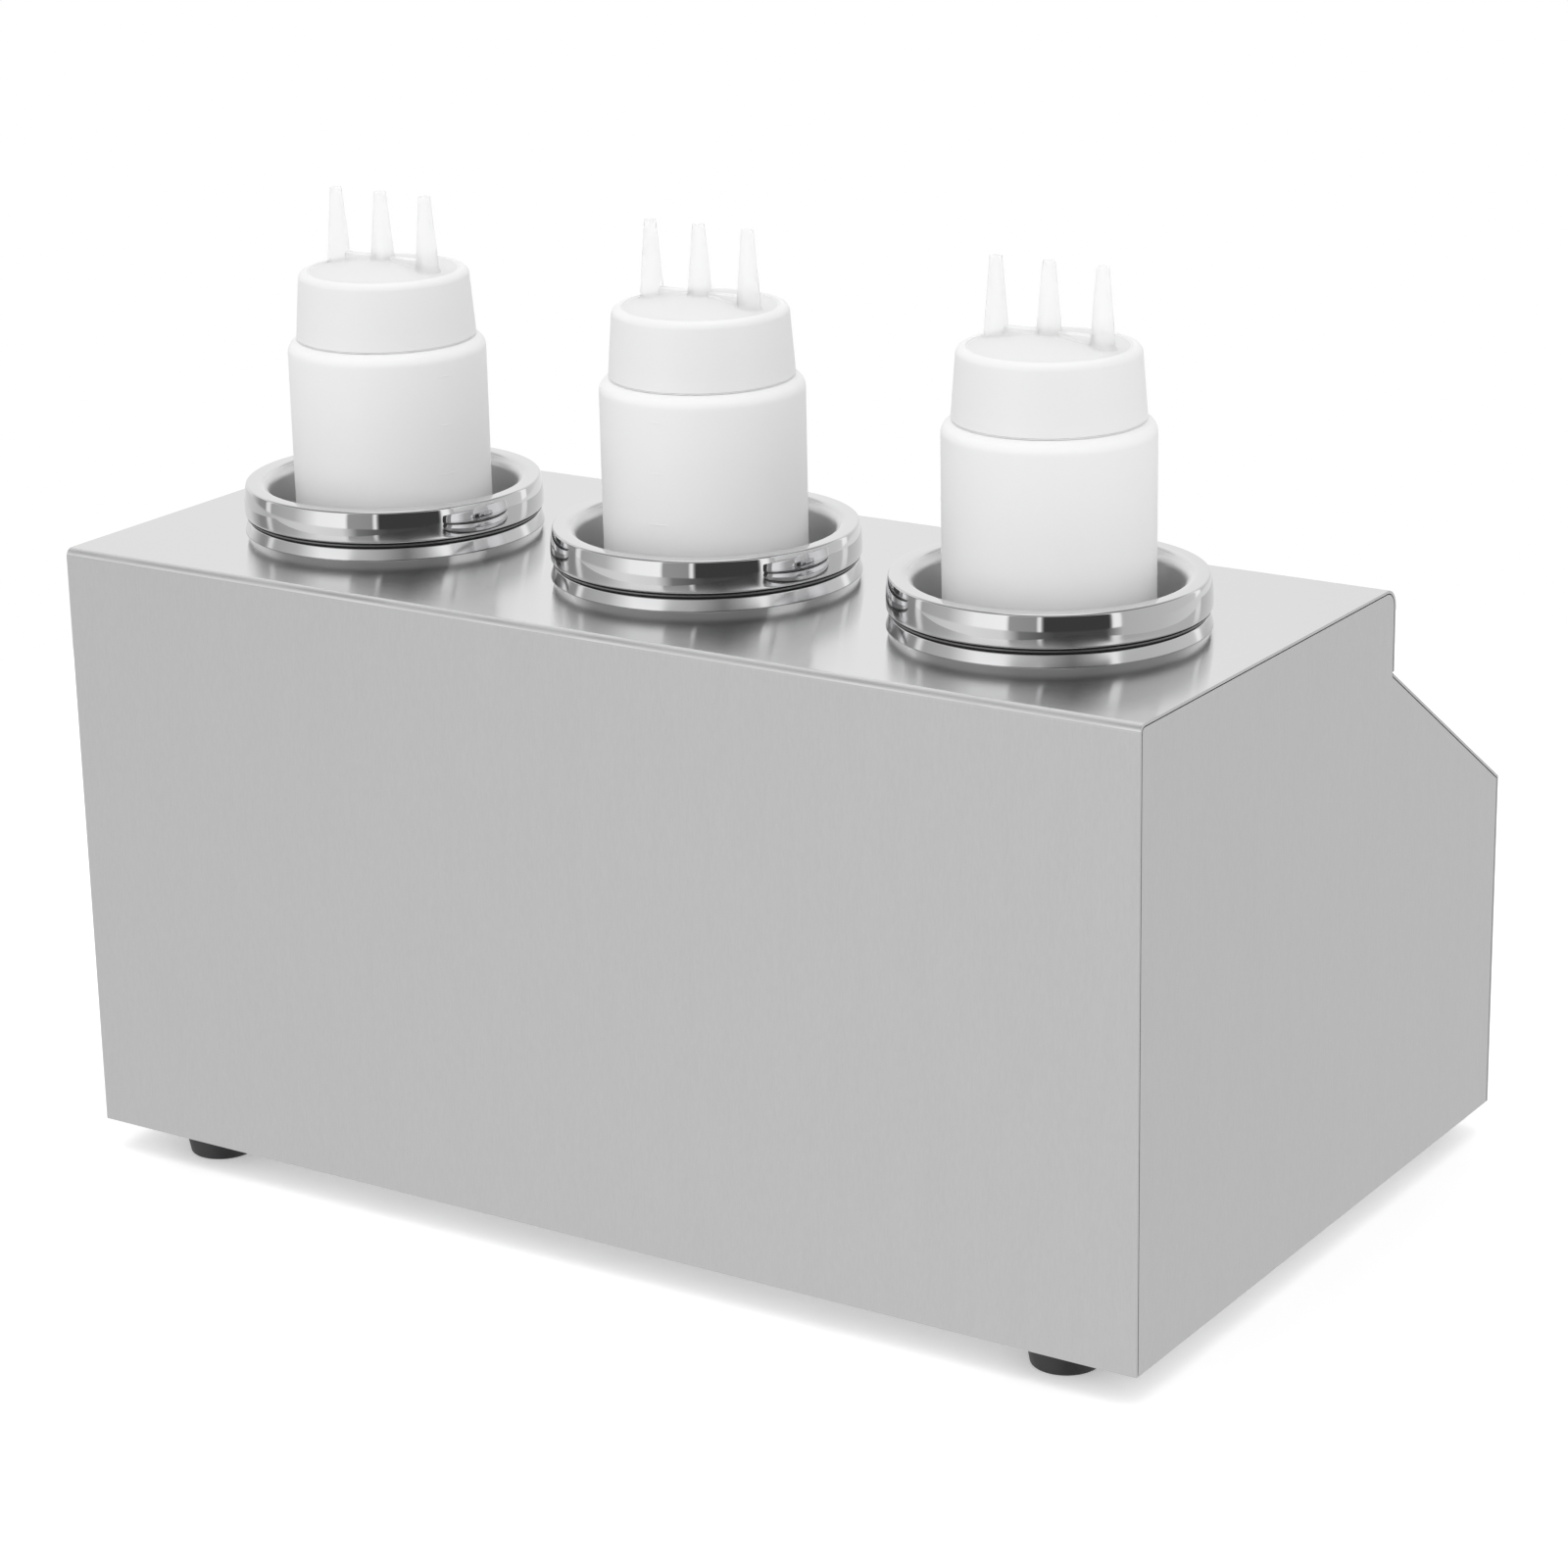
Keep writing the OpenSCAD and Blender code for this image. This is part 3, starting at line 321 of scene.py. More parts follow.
def grainy(name, color, rough, scale, relief, metal=0.0):
    grain = {"detail": 4.0, "dark": 0.85, "light": 1.12, "least": 0.88, "most": 1.1, "depth": 0.1 * mm}
    mat, bsdf = shader(name, color, rough, metal)
    value = noiseOn(mat, scale, grain["detail"])
    tint(mat, bsdf, value, [c * grain["dark"] for c in color], [min(1, c * grain["light"]) for c in color])
    roughen(mat, bsdf, value, rough * grain["least"], min(1, rough * grain["most"]))
    addBump(mat, bsdf, value, relief, grain["depth"])
    return mat


def lensGlow(name, color):
    lens = {"rough": 0.12, "clear": 0.35, "coat": 0.6, "scale": 900, "detail": 1.0, "relief": 0.2,
            "depth": 0.2 * mm}
    mat, bsdf = shader(name, color, lens["rough"])
    bsdf.inputs["Transmission Weight"].default_value = lens["clear"]
    bsdf.inputs["Coat Weight"].default_value = lens["coat"]
    addBump(mat, bsdf, noiseOn(mat, lens["scale"], lens["detail"]), lens["relief"], lens["depth"])
    return mat


finishes = {
    "cabinet_steel": brushedSheet("sideBrush", 0.75, "Z", 0.45, 0.06, 0.045),
    # the deck's tone is set lighter than the faces of the same bent sheet: painted light on the top; its smoother
    # brushing is its own
    "deck": brushedSheet("deckBrushLightened", 0.82, "X", 0.125, 0.015, 0.012, 1.0),
    # the bend of the same sheet gets a brighter tone than deck and faces: a painted highlight along the bend,
    # besides what it really mirrors
    "bend": polishedSteel("bendHighlightSheet", 1.0, 0.42),
    # the slope of the control sheet gets a darker tone than the rest of the same sheet: painted shade against the
    # bright sky it mirrors
    "slope": brushedSheet("slopeBrushShaded", 0.47, "X", 0.4, 0.06),
    "base_steel": brushedSheet("plainSteel", 0.6, "X", 0.42, 0.04, 0.04),
    "polished_steel": polishedSteel("polish", 0.8, 0.035),
    "satinSteel": polishedSteel("satinPolish", 0.8, 0.12),
    "wireSteel": polishedSteel("wirePolish", 0.3, 0.3),
    # the pot's inside is brushed and rougher than its rim, which is real; its lighter tone than the rim's is
    # painted light in the hollow
    "potInsideLightened": brushedSheet("potInsideLightened", 0.9, "Z", 0.35, 0.03, 0.02, metal=0.88),
    "screw_steel": grainy("zinc", (0.62, 0.62, 0.63), 0.3, 400, 0.1, 1.0),
    "heater_metal": grainy("heaterClad", (0.5, 0.48, 0.43), 0.45, 300, 0.2, 1.0),
    "copper": grainy("copper", (0.66, 0.34, 0.2), 0.3, 500, 0.1, 1.0),
    "foot_rubber": grainy("footRubber", (0.045, 0.045, 0.048), 0.55, 900, 0.3),
    "gasket_rubber": grainy("gasketRubber", (0.012, 0.012, 0.013), 0.6, 1200, 0.2),
    "seal_rubber": grainy("sealRubber", (0.74, 0.74, 0.71), 0.6, 900, 0.2),
    "milky_plastic": milkyPlastic("milkyBottle", 0.95, 0.14, 0.38),
    "capPlastic": milkyPlastic("milkyCap", 0.91, 0.14, 0.34, 1.42),
    # the cap's own plastic made darker: painted shade on the hill
    "hillShadePlastic": milkyPlastic("milkyHillShade", 0.82, 0.14, 0.34, 1.42),
    # the web is the cap's plastic with a lighter tone: painted light against the shade the nozzles and the hill
    # cast on it
    "webLightenedPlastic": milkyPlastic("milkyWebLightened", 1.0, 0.5, 0.34, 1.1),
    "clearPlastic": milkyPlastic("clearNozzle", 1.0, 0.85, 0.32, 1.07),
    "ceramic_cream": grainy("ceramic", (0.8, 0.77, 0.68), 0.65, 250, 0.2),
    "knob_plastic": grainy("knobBlack", (0.018, 0.018, 0.02), 0.32, 1500, 0.15),
    "black_plastic": grainy("switchBlack", (0.025, 0.025, 0.027), 0.4, 1500, 0.15),
    "dial_metal": brushedSheet("dialFace", 0.64, "X", 0.3, 0.05, 0.03),
    "lamp_amber": lensGlow("amberLens", (0.95, 0.36, 0.03)),
    "print": grainy("printInk", (0.02, 0.02, 0.022), 0.5, 700, 0.05),
    "paintWhite": grainy("whitePaint", (0.85, 0.85, 0.84), 0.4, 700, 0.05),
}
print("materials ready")


# mesh helpers
def plainMesh(name, bm, mats):
    mesh = bpy.data.meshes.new(name)
    bm.to_mesh(mesh)
    bm.free()
    for mat in mats:
        mesh.materials.append(mat)
    return mesh


def outwardMesh(name, bm, mats):
    bmesh.ops.recalc_face_normals(bm, faces=bm.faces)
    return plainMesh(name, bm, mats)


def smoothed(name, mesh, sharpFrom):
    mesh.polygons.foreach_set("use_smooth", [True] * len(mesh.polygons))
    mesh.set_sharp_from_angle(angle=math.radians(sharpFrom))
    return linked(name, mesh)


def meshObject(name, bm, mats, sharpFrom=32):
    return smoothed(name, outwardMesh(name, bm, mats), sharpFrom)


def arc(cx, cz, r, start, stop, steps):
    turns = [math.radians(start + (stop - start) * k / steps) for k in range(steps + 1)]
    return [(cx + r * math.cos(turn), cz + r * math.sin(turn)) for turn in turns]


def circle(bm, centre, r, z, sides, at=Matrix.Identity(4)):
    turns = [2 * math.pi * k / sides for k in range(sides)]
    return [bm.verts.new(at @ Vector((centre.x + r * math.cos(turn), centre.y + r * math.sin(turn), z)))
            for turn in turns]


# joins rings of equally many vertices into a skin, and shuts the rings named in ends
def skin(bm, rings, ends=(0, -1)):
    for a, b in zip(rings, rings[1:]):
        for k in range(len(a)):
            n = (k + 1) % len(a)
            bm.faces.new((a[k], a[n], b[n], b[k]))
    for end in ends:
        bm.faces.new(rings[end])


# closed profile of (radius, height) turned about a vertical line; slotOf gives each stretch its slot
def turnProfile(bm, profile, centre, sides, slotOf=lambda a, b: 0):
    tiny = 1e-7
    rings = [circle(bm, centre, r, z, sides) if r >= tiny else [bm.verts.new((centre.x, centre.y, z))]
             for r, z in profile]
    for a, b, here, there in zip(rings, rings[1:] + rings[:1], profile, profile[1:] + profile[:1]):
        if len(a) == 1 and len(b) == 1:
            continue
        mark = slotOf(here, there)
        for k in range(sides):
            n = (k + 1) % sides
            if len(a) == 1:
                face = bm.faces.new((a[0], b[k], b[n]))
            elif len(b) == 1:
                face = bm.faces.new((a[k], b[0], a[n]))
            else:
                face = bm.faces.new((a[k], b[k], b[n], a[n]))
            face.material_index = mark


# a sheet of even thickness to the left of an open path of (radius, height)
def sheetProfile(path, thick):
    def normal(a, b):
        d = math.hypot(b[0] - a[0], b[1] - a[1])
        return (-(b[1] - a[1]) / d, (b[0] - a[0]) / d)
    back = []
    last = len(path) - 1
    for i, p in enumerate(path):
        n1 = normal(path[max(i - 1, 0)], path[max(i, 1)])
        n2 = normal(path[min(i, last - 1)], path[min(i + 1, last)])
        m = (n1[0] + n2[0], n1[1] + n2[1])
        scale = 2 * thick / (m[0] ** 2 + m[1] ** 2)
        back.append((max(p[0] + m[0] * scale, 0), p[1] + m[1] * scale))
    return path + back[::-1]


# a merged, smoothed copy of a CAD node; pick gives each of its faces a material slot
def copyNode(node, name, mats, pick=lambda face: 0):
    copy = {"flat": 0.4, "sharpFrom": 25, "weight": 100}
    bm = bmesh.new()
    bm.from_mesh(frame["nodes"][node].data)
    bmesh.ops.remove_doubles(bm, verts=bm.verts, dist=mergeGap)
    bmesh.ops.dissolve_limit(bm, angle_limit=math.radians(copy["flat"]), verts=bm.verts, edges=bm.edges)
    for face in bm.faces:
        face.material_index = pick(face)
    obj = smoothed(name, plainMesh(name, bm, mats), copy["sharpFrom"])
    flatten = obj.modifiers.new("keepFlatsFlat", "WEIGHTED_NORMAL")
    flatten.keep_sharp = True
    flatten.weight = copy["weight"]
    return obj


def place(obj, body, slotName, *nodes):
    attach(obj, body)
    if nodes:
        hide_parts(*nodes)


# cabinet sheets
def dressCabinet():
    # least share of a face's normal that points up, or off the slope, for each finish; these set where the deck's
    # lighter tone and the bend's painted highlight go, and the slope's painted shade
    least = {"deck": 0.99, "bend": 0.3, "slope": 0.9}
    steel = finishes["cabinet_steel"]

    def wrapPick(face):
        return 1 if face.normal.z > least["deck"] else 2 if face.normal.z > least["bend"] else 0
    wrap = copyNode("wrap_shell", "wrapSheet", [steel, finishes["deck"], finishes["bend"]], wrapPick)
    place(wrap, "cabinet", "cabinet_steel", "wrap_shell")

    # faces turned to the slope get the darker tone, which is painted shade
    def slopePick(face):
        return 1 if face.normal.dot(slopeNormal) > least["slope"] else 0
    control = copyNode("front_panel", "controlSheet", [steel, finishes["slope"]], slopePick)
    place(control, "cabinet", "cabinet_steel", "front_panel")
    for node, name in (("side_panel_left", "leftSheet"), ("side_panel_right", "rightSheet")):
        place(copyNode(node, name, [steel]), "cabinet", "cabinet_steel", node)
    print("cabinet dressed")


# pot with its hollow polished rim
def makePot(i):
    node = f"pot_{i}"
    low, high, c = lowOf(node), highOf(node), middle(node)
    size = {"wall": 0.8 * mm, "rimEdge": 1.0 * mm, "mouthEdge": 4.6 * mm, "rimHeight": 11.7 * mm,
            "lip": 4.5 * mm, "belly": 40 * mm, "bellyLow": -3, "lowEdge": 0.7 * mm, "heel": 8 * mm,
            "mouthStep": 0.6 * mm, "rimWidth": 9 * mm, "dullShare": 0.5, "steps": 8, "fineSteps": 14,
            "sides": 256}
    r = (high.x - low.x) / 2
    inner = r - size["rimWidth"] - size["mouthStep"]
    top = high.z
    rimLow = top - size["rimHeight"]
    floorZ = low.z + size["wall"]
    edge, mouth, heel = size["rimEdge"], size["mouthEdge"], size["heel"]
    belly, lowEdge = size["belly"], size["lowEdge"]
    # the rim's outer wall is a shallow belly between two rounded edges, so that it mirrors the room
    lower = math.radians(size["bellyLow"])
    bellyZ = rimLow + lowEdge * (1 + math.sin(lower)) - belly * math.sin(lower)
    bellyX = r - belly
    lowX = bellyX + (belly - lowEdge) * math.cos(lower)
    upper = math.asin((top - edge - bellyZ) / (belly - edge))
    edgeX = bellyX + (belly - edge) * math.cos(upper)
    steps, fine = size["steps"], size["fineSteps"]
    path = [(r - size["lip"], rimLow)]
    path += arc(lowX, rimLow + lowEdge, lowEdge, -90, size["bellyLow"], steps)
    path += arc(bellyX, bellyZ, belly, size["bellyLow"], math.degrees(upper), fine)[1:]
    path += arc(edgeX, top - edge, edge, math.degrees(upper), 90, steps)[1:]
    path += arc(inner + mouth, top - mouth, mouth, 90, 180, fine)
    path += arc(inner - heel, floorZ + heel, heel, 0, -90, steps)
    path += [(0, floorZ)]

    # faces inside the mouth get the inside finish, with its painted lighter tone
    def pickSlot(a, b):
        return 1 if max(a[0], b[0]) < inner + mouth * size["dullShare"] else 0
    bm = bmesh.new()
    turnProfile(bm, sheetProfile(path, size["wall"]), c, size["sides"], pickSlot)
    pot = meshObject(f"pot{i}", bm, [finishes["polished_steel"], finishes["potInsideLightened"]])
    place(pot, f"pot_{i}", "polished_steel", node)


# well can with the polished collar that shows on the deck
def makeWell(i):
    node = f"well_{i}"
    low, high, c = lowOf(node), highOf(node), middle(node)
    size = {"wall": 1.0 * mm, "foot": 0.22 * mm, "lean": 17, "crown": 0.9 * mm, "crownSteps": 8,
            "tube": 49.4 * mm, "innerEdge": 1.2 * mm, "innerSteps": 6, "sides": 224}
    r = (high.x - low.x) / 2
    bore = size["tube"] - size["wall"]
    profile = [(0, low.z), (size["tube"], low.z), (size["tube"], deckZ), (r - size["foot"], deckZ)]
    profile += [(r, deckZ + size["foot"])]
    # the collar's wall leans in, so that it catches the light from above
    lean, crown, inner = math.radians(size["lean"]), size["crown"], size["innerEdge"]
    crownZ = high.z - crown
    leanX = r - (crownZ + crown * math.sin(lean) - deckZ) * math.tan(lean)
    profile += arc(leanX - crown * math.cos(lean), crownZ, crown, size["lean"], 90, size["crownSteps"])
    profile += arc(bore + inner, high.z - inner, inner, 90, 180, size["innerSteps"])
    profile += [(bore, low.z + size["wall"]), (0, low.z + size["wall"])]
    bm = bmesh.new()
    turnProfile(bm, profile, c, size["sides"])
    place(meshObject(f"well{i}", bm, [finishes["satinSteel"]]), "cabinet", "polished_steel", node)


# gasket between collar and rim, and the thin wire round it
def makeGasket(i):
    node = f"gasket_{i}"
    low, high, c = lowOf(node), highOf(node), middle(node)
    size = {"inner": 49.6 * mm, "edge": 0.5 * mm, "steps": 4, "sides": 160,
            "wire": 0.34 * mm, "wireOut": 0.5, "wireLift": 0.05 * mm, "wireSteps": 12, "wireSides": 192}
    r = (high.x - low.x) / 2
    e, wire, steps = size["edge"], size["wire"], size["steps"]
    profile = [(size["inner"], low.z)] + arc(r - e, low.z + e, e, -90, 0, steps)
    profile += arc(r - e, high.z - e, e, 0, 90, steps) + [(size["inner"], high.z)]
    bm = bmesh.new()
    turnProfile(bm, profile, c, size["sides"])
    gasket = meshObject(f"gasket{i}", bm, [finishes["gasket_rubber"]])
    place(gasket, "cabinet", "gasket_rubber", node)
    ring = arc(r + wire * size["wireOut"], c.z + size["wireLift"], wire, 0, 360, size["wireSteps"])[:-1]
    bm = bmesh.new()
    turnProfile(bm, ring, c, size["wireSides"])
    place(meshObject(f"gasketWire{i}", bm, [finishes["wireSteel"]]), "cabinet", "polished_steel")


# squeeze bottle: heel, straight wall, soft shoulder, seat of the cap, neck
def makeBottle(i):
    node = f"bottle_{i}"
    low, high, c = lowOf(node), highOf(node), middle(node)
    size = {"wall": 1.3 * mm, "heel": 6 * mm, "shoulder": 5 * mm, "neckRadius": 28.5 * mm,
            "neckWall": 1.8 * mm, "neckFoot": 0.78 * mm, "punt": 3 * mm, "puntShare": 0.58,
            "footShare": 0.74, "lip": 0.6 * mm, "shoulderLow": 21.1 * mm,
            "seat": (30.5 * mm, 33.2 * mm), "seatClear": 0.02 * mm, "lipSteps": 4, "steps": 10,
            "shoulderSteps": 14, "heelSteps": 8, "sides": 192}
    r = (high.x - low.x) / 2
    shoulderZ = high.z - size["shoulderLow"]
    neck, wall, heel, shoulder = size["neckRadius"], size["wall"], size["heel"], size["shoulder"]
    lip, foot, few = size["lip"], size["neckFoot"], size["lipSteps"]
    puntR, puntZ = r * size["puntShare"], low.z + size["punt"]
    outside = [(0, puntZ), (puntR, puntZ), (r * size["footShare"], low.z)]
    outside += arc(r - heel, low.z + heel, heel, -90, 0, size["steps"])
    outside += arc(r - shoulder, shoulderZ - shoulder, shoulder, 0, 90, size["shoulderSteps"])
    # a low seat closes the gap that the cap's skirt would leave over the shoulder
    seatIn, seatOut = size["seat"]
    seatZ = lowOf(f"cap_{i}").z - size["seatClear"]
    outside += [(seatOut, shoulderZ), (seatOut, seatZ), (seatIn, seatZ)]
    outside += arc(neck + wall, seatZ + foot, foot, -90, -180, few)[1:]
    outside += arc(neck - lip, high.z - lip, lip, 0, 90, few)
    inner = neck - size["neckWall"]
    inside = arc(inner + lip, high.z - lip, lip, 90, 180, few)
    inside += [(inner, shoulderZ - wall)]
    inside += arc(r - shoulder, shoulderZ - shoulder, shoulder - wall, 90, 0, size["steps"])
    inside += arc(r - heel, low.z + heel, heel - wall, 0, -90, size["heelSteps"])
    inside += [(puntR, puntZ + wall), (0, puntZ + wall)]
    bm = bmesh.new()
    turnProfile(bm, outside + inside, c, size["sides"])
    bottle = meshObject(f"bottle{i}", bm, [finishes["milky_plastic"]])
    place(bottle, f"bottle_{i}", "milky_plastic", node)
    makeThread(i, c, neck, shoulderZ)
    makeMarks(i, c, r)


# one ring of vertices: a section of (distance from the axis, height) at a turn and a level
def sectionAt(bm, c, turn, level, section):
    way = Vector((math.cos(turn), math.sin(turn), 0))
    return [bm.verts.new(Vector((c.x, c.y, level + up)) + way * out) for out, up in section]


# two thread ridges run up the bottle's neck and fade at both ends
def makeThread(i, c, neck, shoulderZ):
    size = {"ridge": 1.25 * mm, "tall": 2.2 * mm, "crestShare": 0.35, "lead": 8 * mm, "turns": 1.15,
            "starts": 2, "low": 6.5 * mm, "sink": 0.3 * mm, "least": 0.02 * mm, "fade": 6, "turnSteps": 96}
    steps = int(size["turnSteps"] * size["turns"])
    root, half = neck - size["sink"], size["tall"] / 2
    flat = half * size["crestShare"]
    bm = bmesh.new()
    for start in range(size["starts"]):
        rings = []
        for k in range(steps + 1):
            fade = min(1, size["fade"] * min(k, steps - k) / steps)
            turn = 2 * math.pi * (start / size["starts"] + size["turns"] * k / steps)
            level = shoulderZ + size["low"] + size["lead"] * size["turns"] * k / steps
            crest = neck + size["ridge"] * fade + size["least"]
            section = ((root, -half), (crest, -flat), (crest, flat), (root, half))
            rings.append(sectionAt(bm, c, turn, level, section))
        skin(bm, rings)
    thread = meshObject(f"bottle{i}Thread", bm, [finishes["milky_plastic"]])
    place(thread, f"bottle_{i}", "milky_plastic")


# short graduation lines, raised on the bottle's wall; each line is (level, length)
def makeMarks(i, c, r):
    size = {"turn": {1: 30, 2: 97, 3: 162}, "tall": 0.35 * mm, "proud": 0.12 * mm, "sink": 0.3 * mm,
            "lines": ((264.5 * mm, 7 * mm), (301 * mm, 5 * mm), (282.8 * mm, 5 * mm)), "steps": 8}
    root, crest, tall, steps = r - size["sink"], r + size["proud"], size["tall"], size["steps"]
    section = ((root, -tall), (crest, -tall / 2), (crest, tall / 2), (root, tall))
    bm = bmesh.new()
    for level, length in size["lines"]:
        half = length / r / 2
        first = math.radians(size["turn"][i]) - half
        skin(bm, [sectionAt(bm, c, first + 2 * half * k / steps, level, section) for k in range(steps + 1)])
    marks = meshObject(f"bottle{i}Marks", bm, [finishes["milky_plastic"]])
    place(marks, f"bottle_{i}", "milky_plastic")


# cap: conical skirt, soft edge, low hill, three open nozzles with a web between them; the hill has a darker tone
# than the rest of the same cap, which is painted shade
def makeCap(i):
    node = f"cap_{i}"
    low, high, c = lowOf(node), highOf(node), middle(node)
    size = {"skirtHeight": 24.7 * mm, "skirtEdge": 0.3 * mm, "topRadius": 31.6 * mm, "edge": 2.8 * mm,
            "edgeFrom": 4, "edgeSteps": 12, "bore": 30.2 * mm, "top": 2.4 * mm, "step": 0.35 * mm,
            "hill": 4 * mm, "hillTip": 0.1, "hillShare": 0.95, "hillSteps": 22, "hillShadeFrom": 1 * mm,
            "underHill": 24.2 * mm, "sides": 192}
    nozzle = {"pitch": 20.5 * mm, "tip": 2.1 * mm, "root": 4.2 * mm, "wall": 0.9 * mm, "sink": 0.4 * mm,
              "flare": 1.8 * mm, "flareSteps": 5, "lip": 0.35 * mm, "lipIn": 0.5, "lipDown": 0.2,
              "sides": 64}
    web = {"wide": 2.6 * mm, "rise": 1.0 * mm, "edge": 0.5 * mm, "sink": 0.5 * mm,
           "footWide": 0.8 * mm, "footTall": 1.2 * mm, "rows": 12}
    r = (high.x - low.x) / 2
    topZ = low.z + size["skirtHeight"]
    under = topZ - size["top"]
    edge, step, steps, bevel = size["edge"], size["step"], size["hillSteps"], size["skirtEdge"]
    flat = size["topRadius"] - edge
    hillR, underR = flat * size["hillShare"], size["underHill"]

    # height of a cone with a rounded tip, at a distance from its axis
    def hillAt(away, reach, base):
        soft = size["hillTip"]
        down = math.hypot(min(1, away / reach), soft) - soft
        return base + size["hill"] * (1 - down / (math.hypot(1, soft) - soft))

    def topAt(away):
        return hillAt(away, hillR, topZ)
    outer = [(size["bore"], low.z), (r - bevel, low.z), (r, low.z + bevel)]
    outer += arc(flat, topZ - edge, edge, size["edgeFrom"], 90, size["edgeSteps"])
    outer += [(hillR + 2 * step, topZ), (hillR + step, topZ - step), (hillR, topZ - step)]
    outer += [(hillR * k / steps, topAt(hillR * k / steps)) for k in range(steps - 1, -1, -1)]
    inner = [(underR * k / steps, hillAt(underR * k / steps, underR, under)) for k in range(steps + 1)]
    inner += [(size["bore"], under)]

    # faces of the hill get the darker copy of the cap's plastic: painted shade
    def pickSlot(a, b):
        return 1 if a[1] > under + size["hillShadeFrom"] and max(a[0], b[0]) <= hillR + step / 2 else 0
    bm = bmesh.new()
    turnProfile(bm, outer + inner, c, size["sides"], pickSlot)
    body = meshObject(f"cap{i}", bm, [finishes["capPlastic"], finishes["hillShadePlastic"]])
    place(body, f"cap_{i}", "milky_plastic", node)
    for k in (-1, 0, 1):
        makeNozzle(i, k, nozzle, c, high.z, topAt)
    makeWeb(i, web, nozzle, c, topZ + size["hill"] + web["rise"], topAt)


# an open nozzle, whose flared foot follows the hill
def makeNozzle(i, k, size, c, tipZ, topAt):
    rootZ = topAt(abs(k) * size["pitch"])
    root, tip, lip, flare, wall = (size[part] for part in ("root", "tip", "lip", "flare", "wall"))
    footZ = rootZ - size["sink"]
    turns = [math.pi / 2 * s / size["flareSteps"] for s in range(size["flareSteps"] + 1)]
    out = [(root + flare * (1 - math.sin(turn)), footZ + flare * (1 - math.cos(turn))) for turn in turns]
    out += [(tip, tipZ - lip), (tip - lip * size["lipIn"], tipZ - lip * size["lipDown"]), (tip - lip, tipZ)]
    bore = [(tip - wall, tipZ), (root - wall, rootZ + flare), (root - wall, footZ)]
    bm = bmesh.new()
    turnProfile(bm, out + bore, Vector((c.x + k * size["pitch"], c.y, 0)), size["sides"])
    for v in bm.verts:
        share = 1 - (v.co.z - rootZ) / flare
        if share > 0:
            v.co.z += min(1, share) * (topAt(math.hypot(v.co.x - c.x, v.co.y - c.y)) - rootZ)
    nozzle = meshObject(f"cap{i}Nozzle{k + 2}", bm, [finishes["clearPlastic"]])
    place(nozzle, f"cap_{i}", "milky_plastic")


# the web stands on the hill, runs from nozzle to nozzle and ends in their walls
def makeWeb(i, size, nozzle, c, webTop, topAt):
    half, edge, rows = size["wide"] / 2, size["edge"], size["rows"]
    inWall = nozzle["root"] - nozzle["wall"] / 2
    bm = bmesh.new()
    for side in (-1, 1):
        cuts = []
        for k in range(rows + 1):
            x = inWall + (nozzle["pitch"] - 2 * inWall) * k / rows
            base = topAt(x) - size["sink"]
            face = [(half + size["footWide"], base), (half, base + size["footTall"]),
                    (half, webTop - edge), (half - edge, webTop)]
            ring = [(-y, z) for y, z in face] + face[::-1]
            cuts.append([bm.verts.new((c.x + side * x, c.y + y, z)) for y, z in ring])
        skin(bm, cuts)
    # the web gets the lighter copy of the cap's plastic, which is painted light
    place(meshObject(f"cap{i}Web", bm, [finishes["webLightenedPlastic"]]), f"cap_{i}", "milky_plastic")


# the frame of a face on the slope: x along the cabinet, y up the face, z outward
def faceFrame(origin, normal):
    along = Vector((1, 0, 0))
    up = normal.cross(along).normalized()
    return Matrix.Translation(origin) @ Matrix((along, up, normal)).transposed().to_4x4()


# where the knob's axis meets the slope's face
def slopeFoot(i):
    hub = Vector(jointOf(f"knob_{i}_turn")["pos_m"])
    corners = [Vector(v.co) for v in frame["nodes"][f"dial_plate_{i}"].data.vertices]
    depth = min((p - hub).dot(slopeNormal) for p in corners)
    return faceFrame(hub + slopeNormal * depth, slopeNormal)


def blockOn(bm, low, high, at=Matrix.Identity(4)):
    for v in bmesh.ops.create_cube(bm, size=1.0)["verts"]:
        v.co = at @ Vector([low[k] + (v.co[k] + 0.5) * (high[k] - low[k]) for k in range(3)])


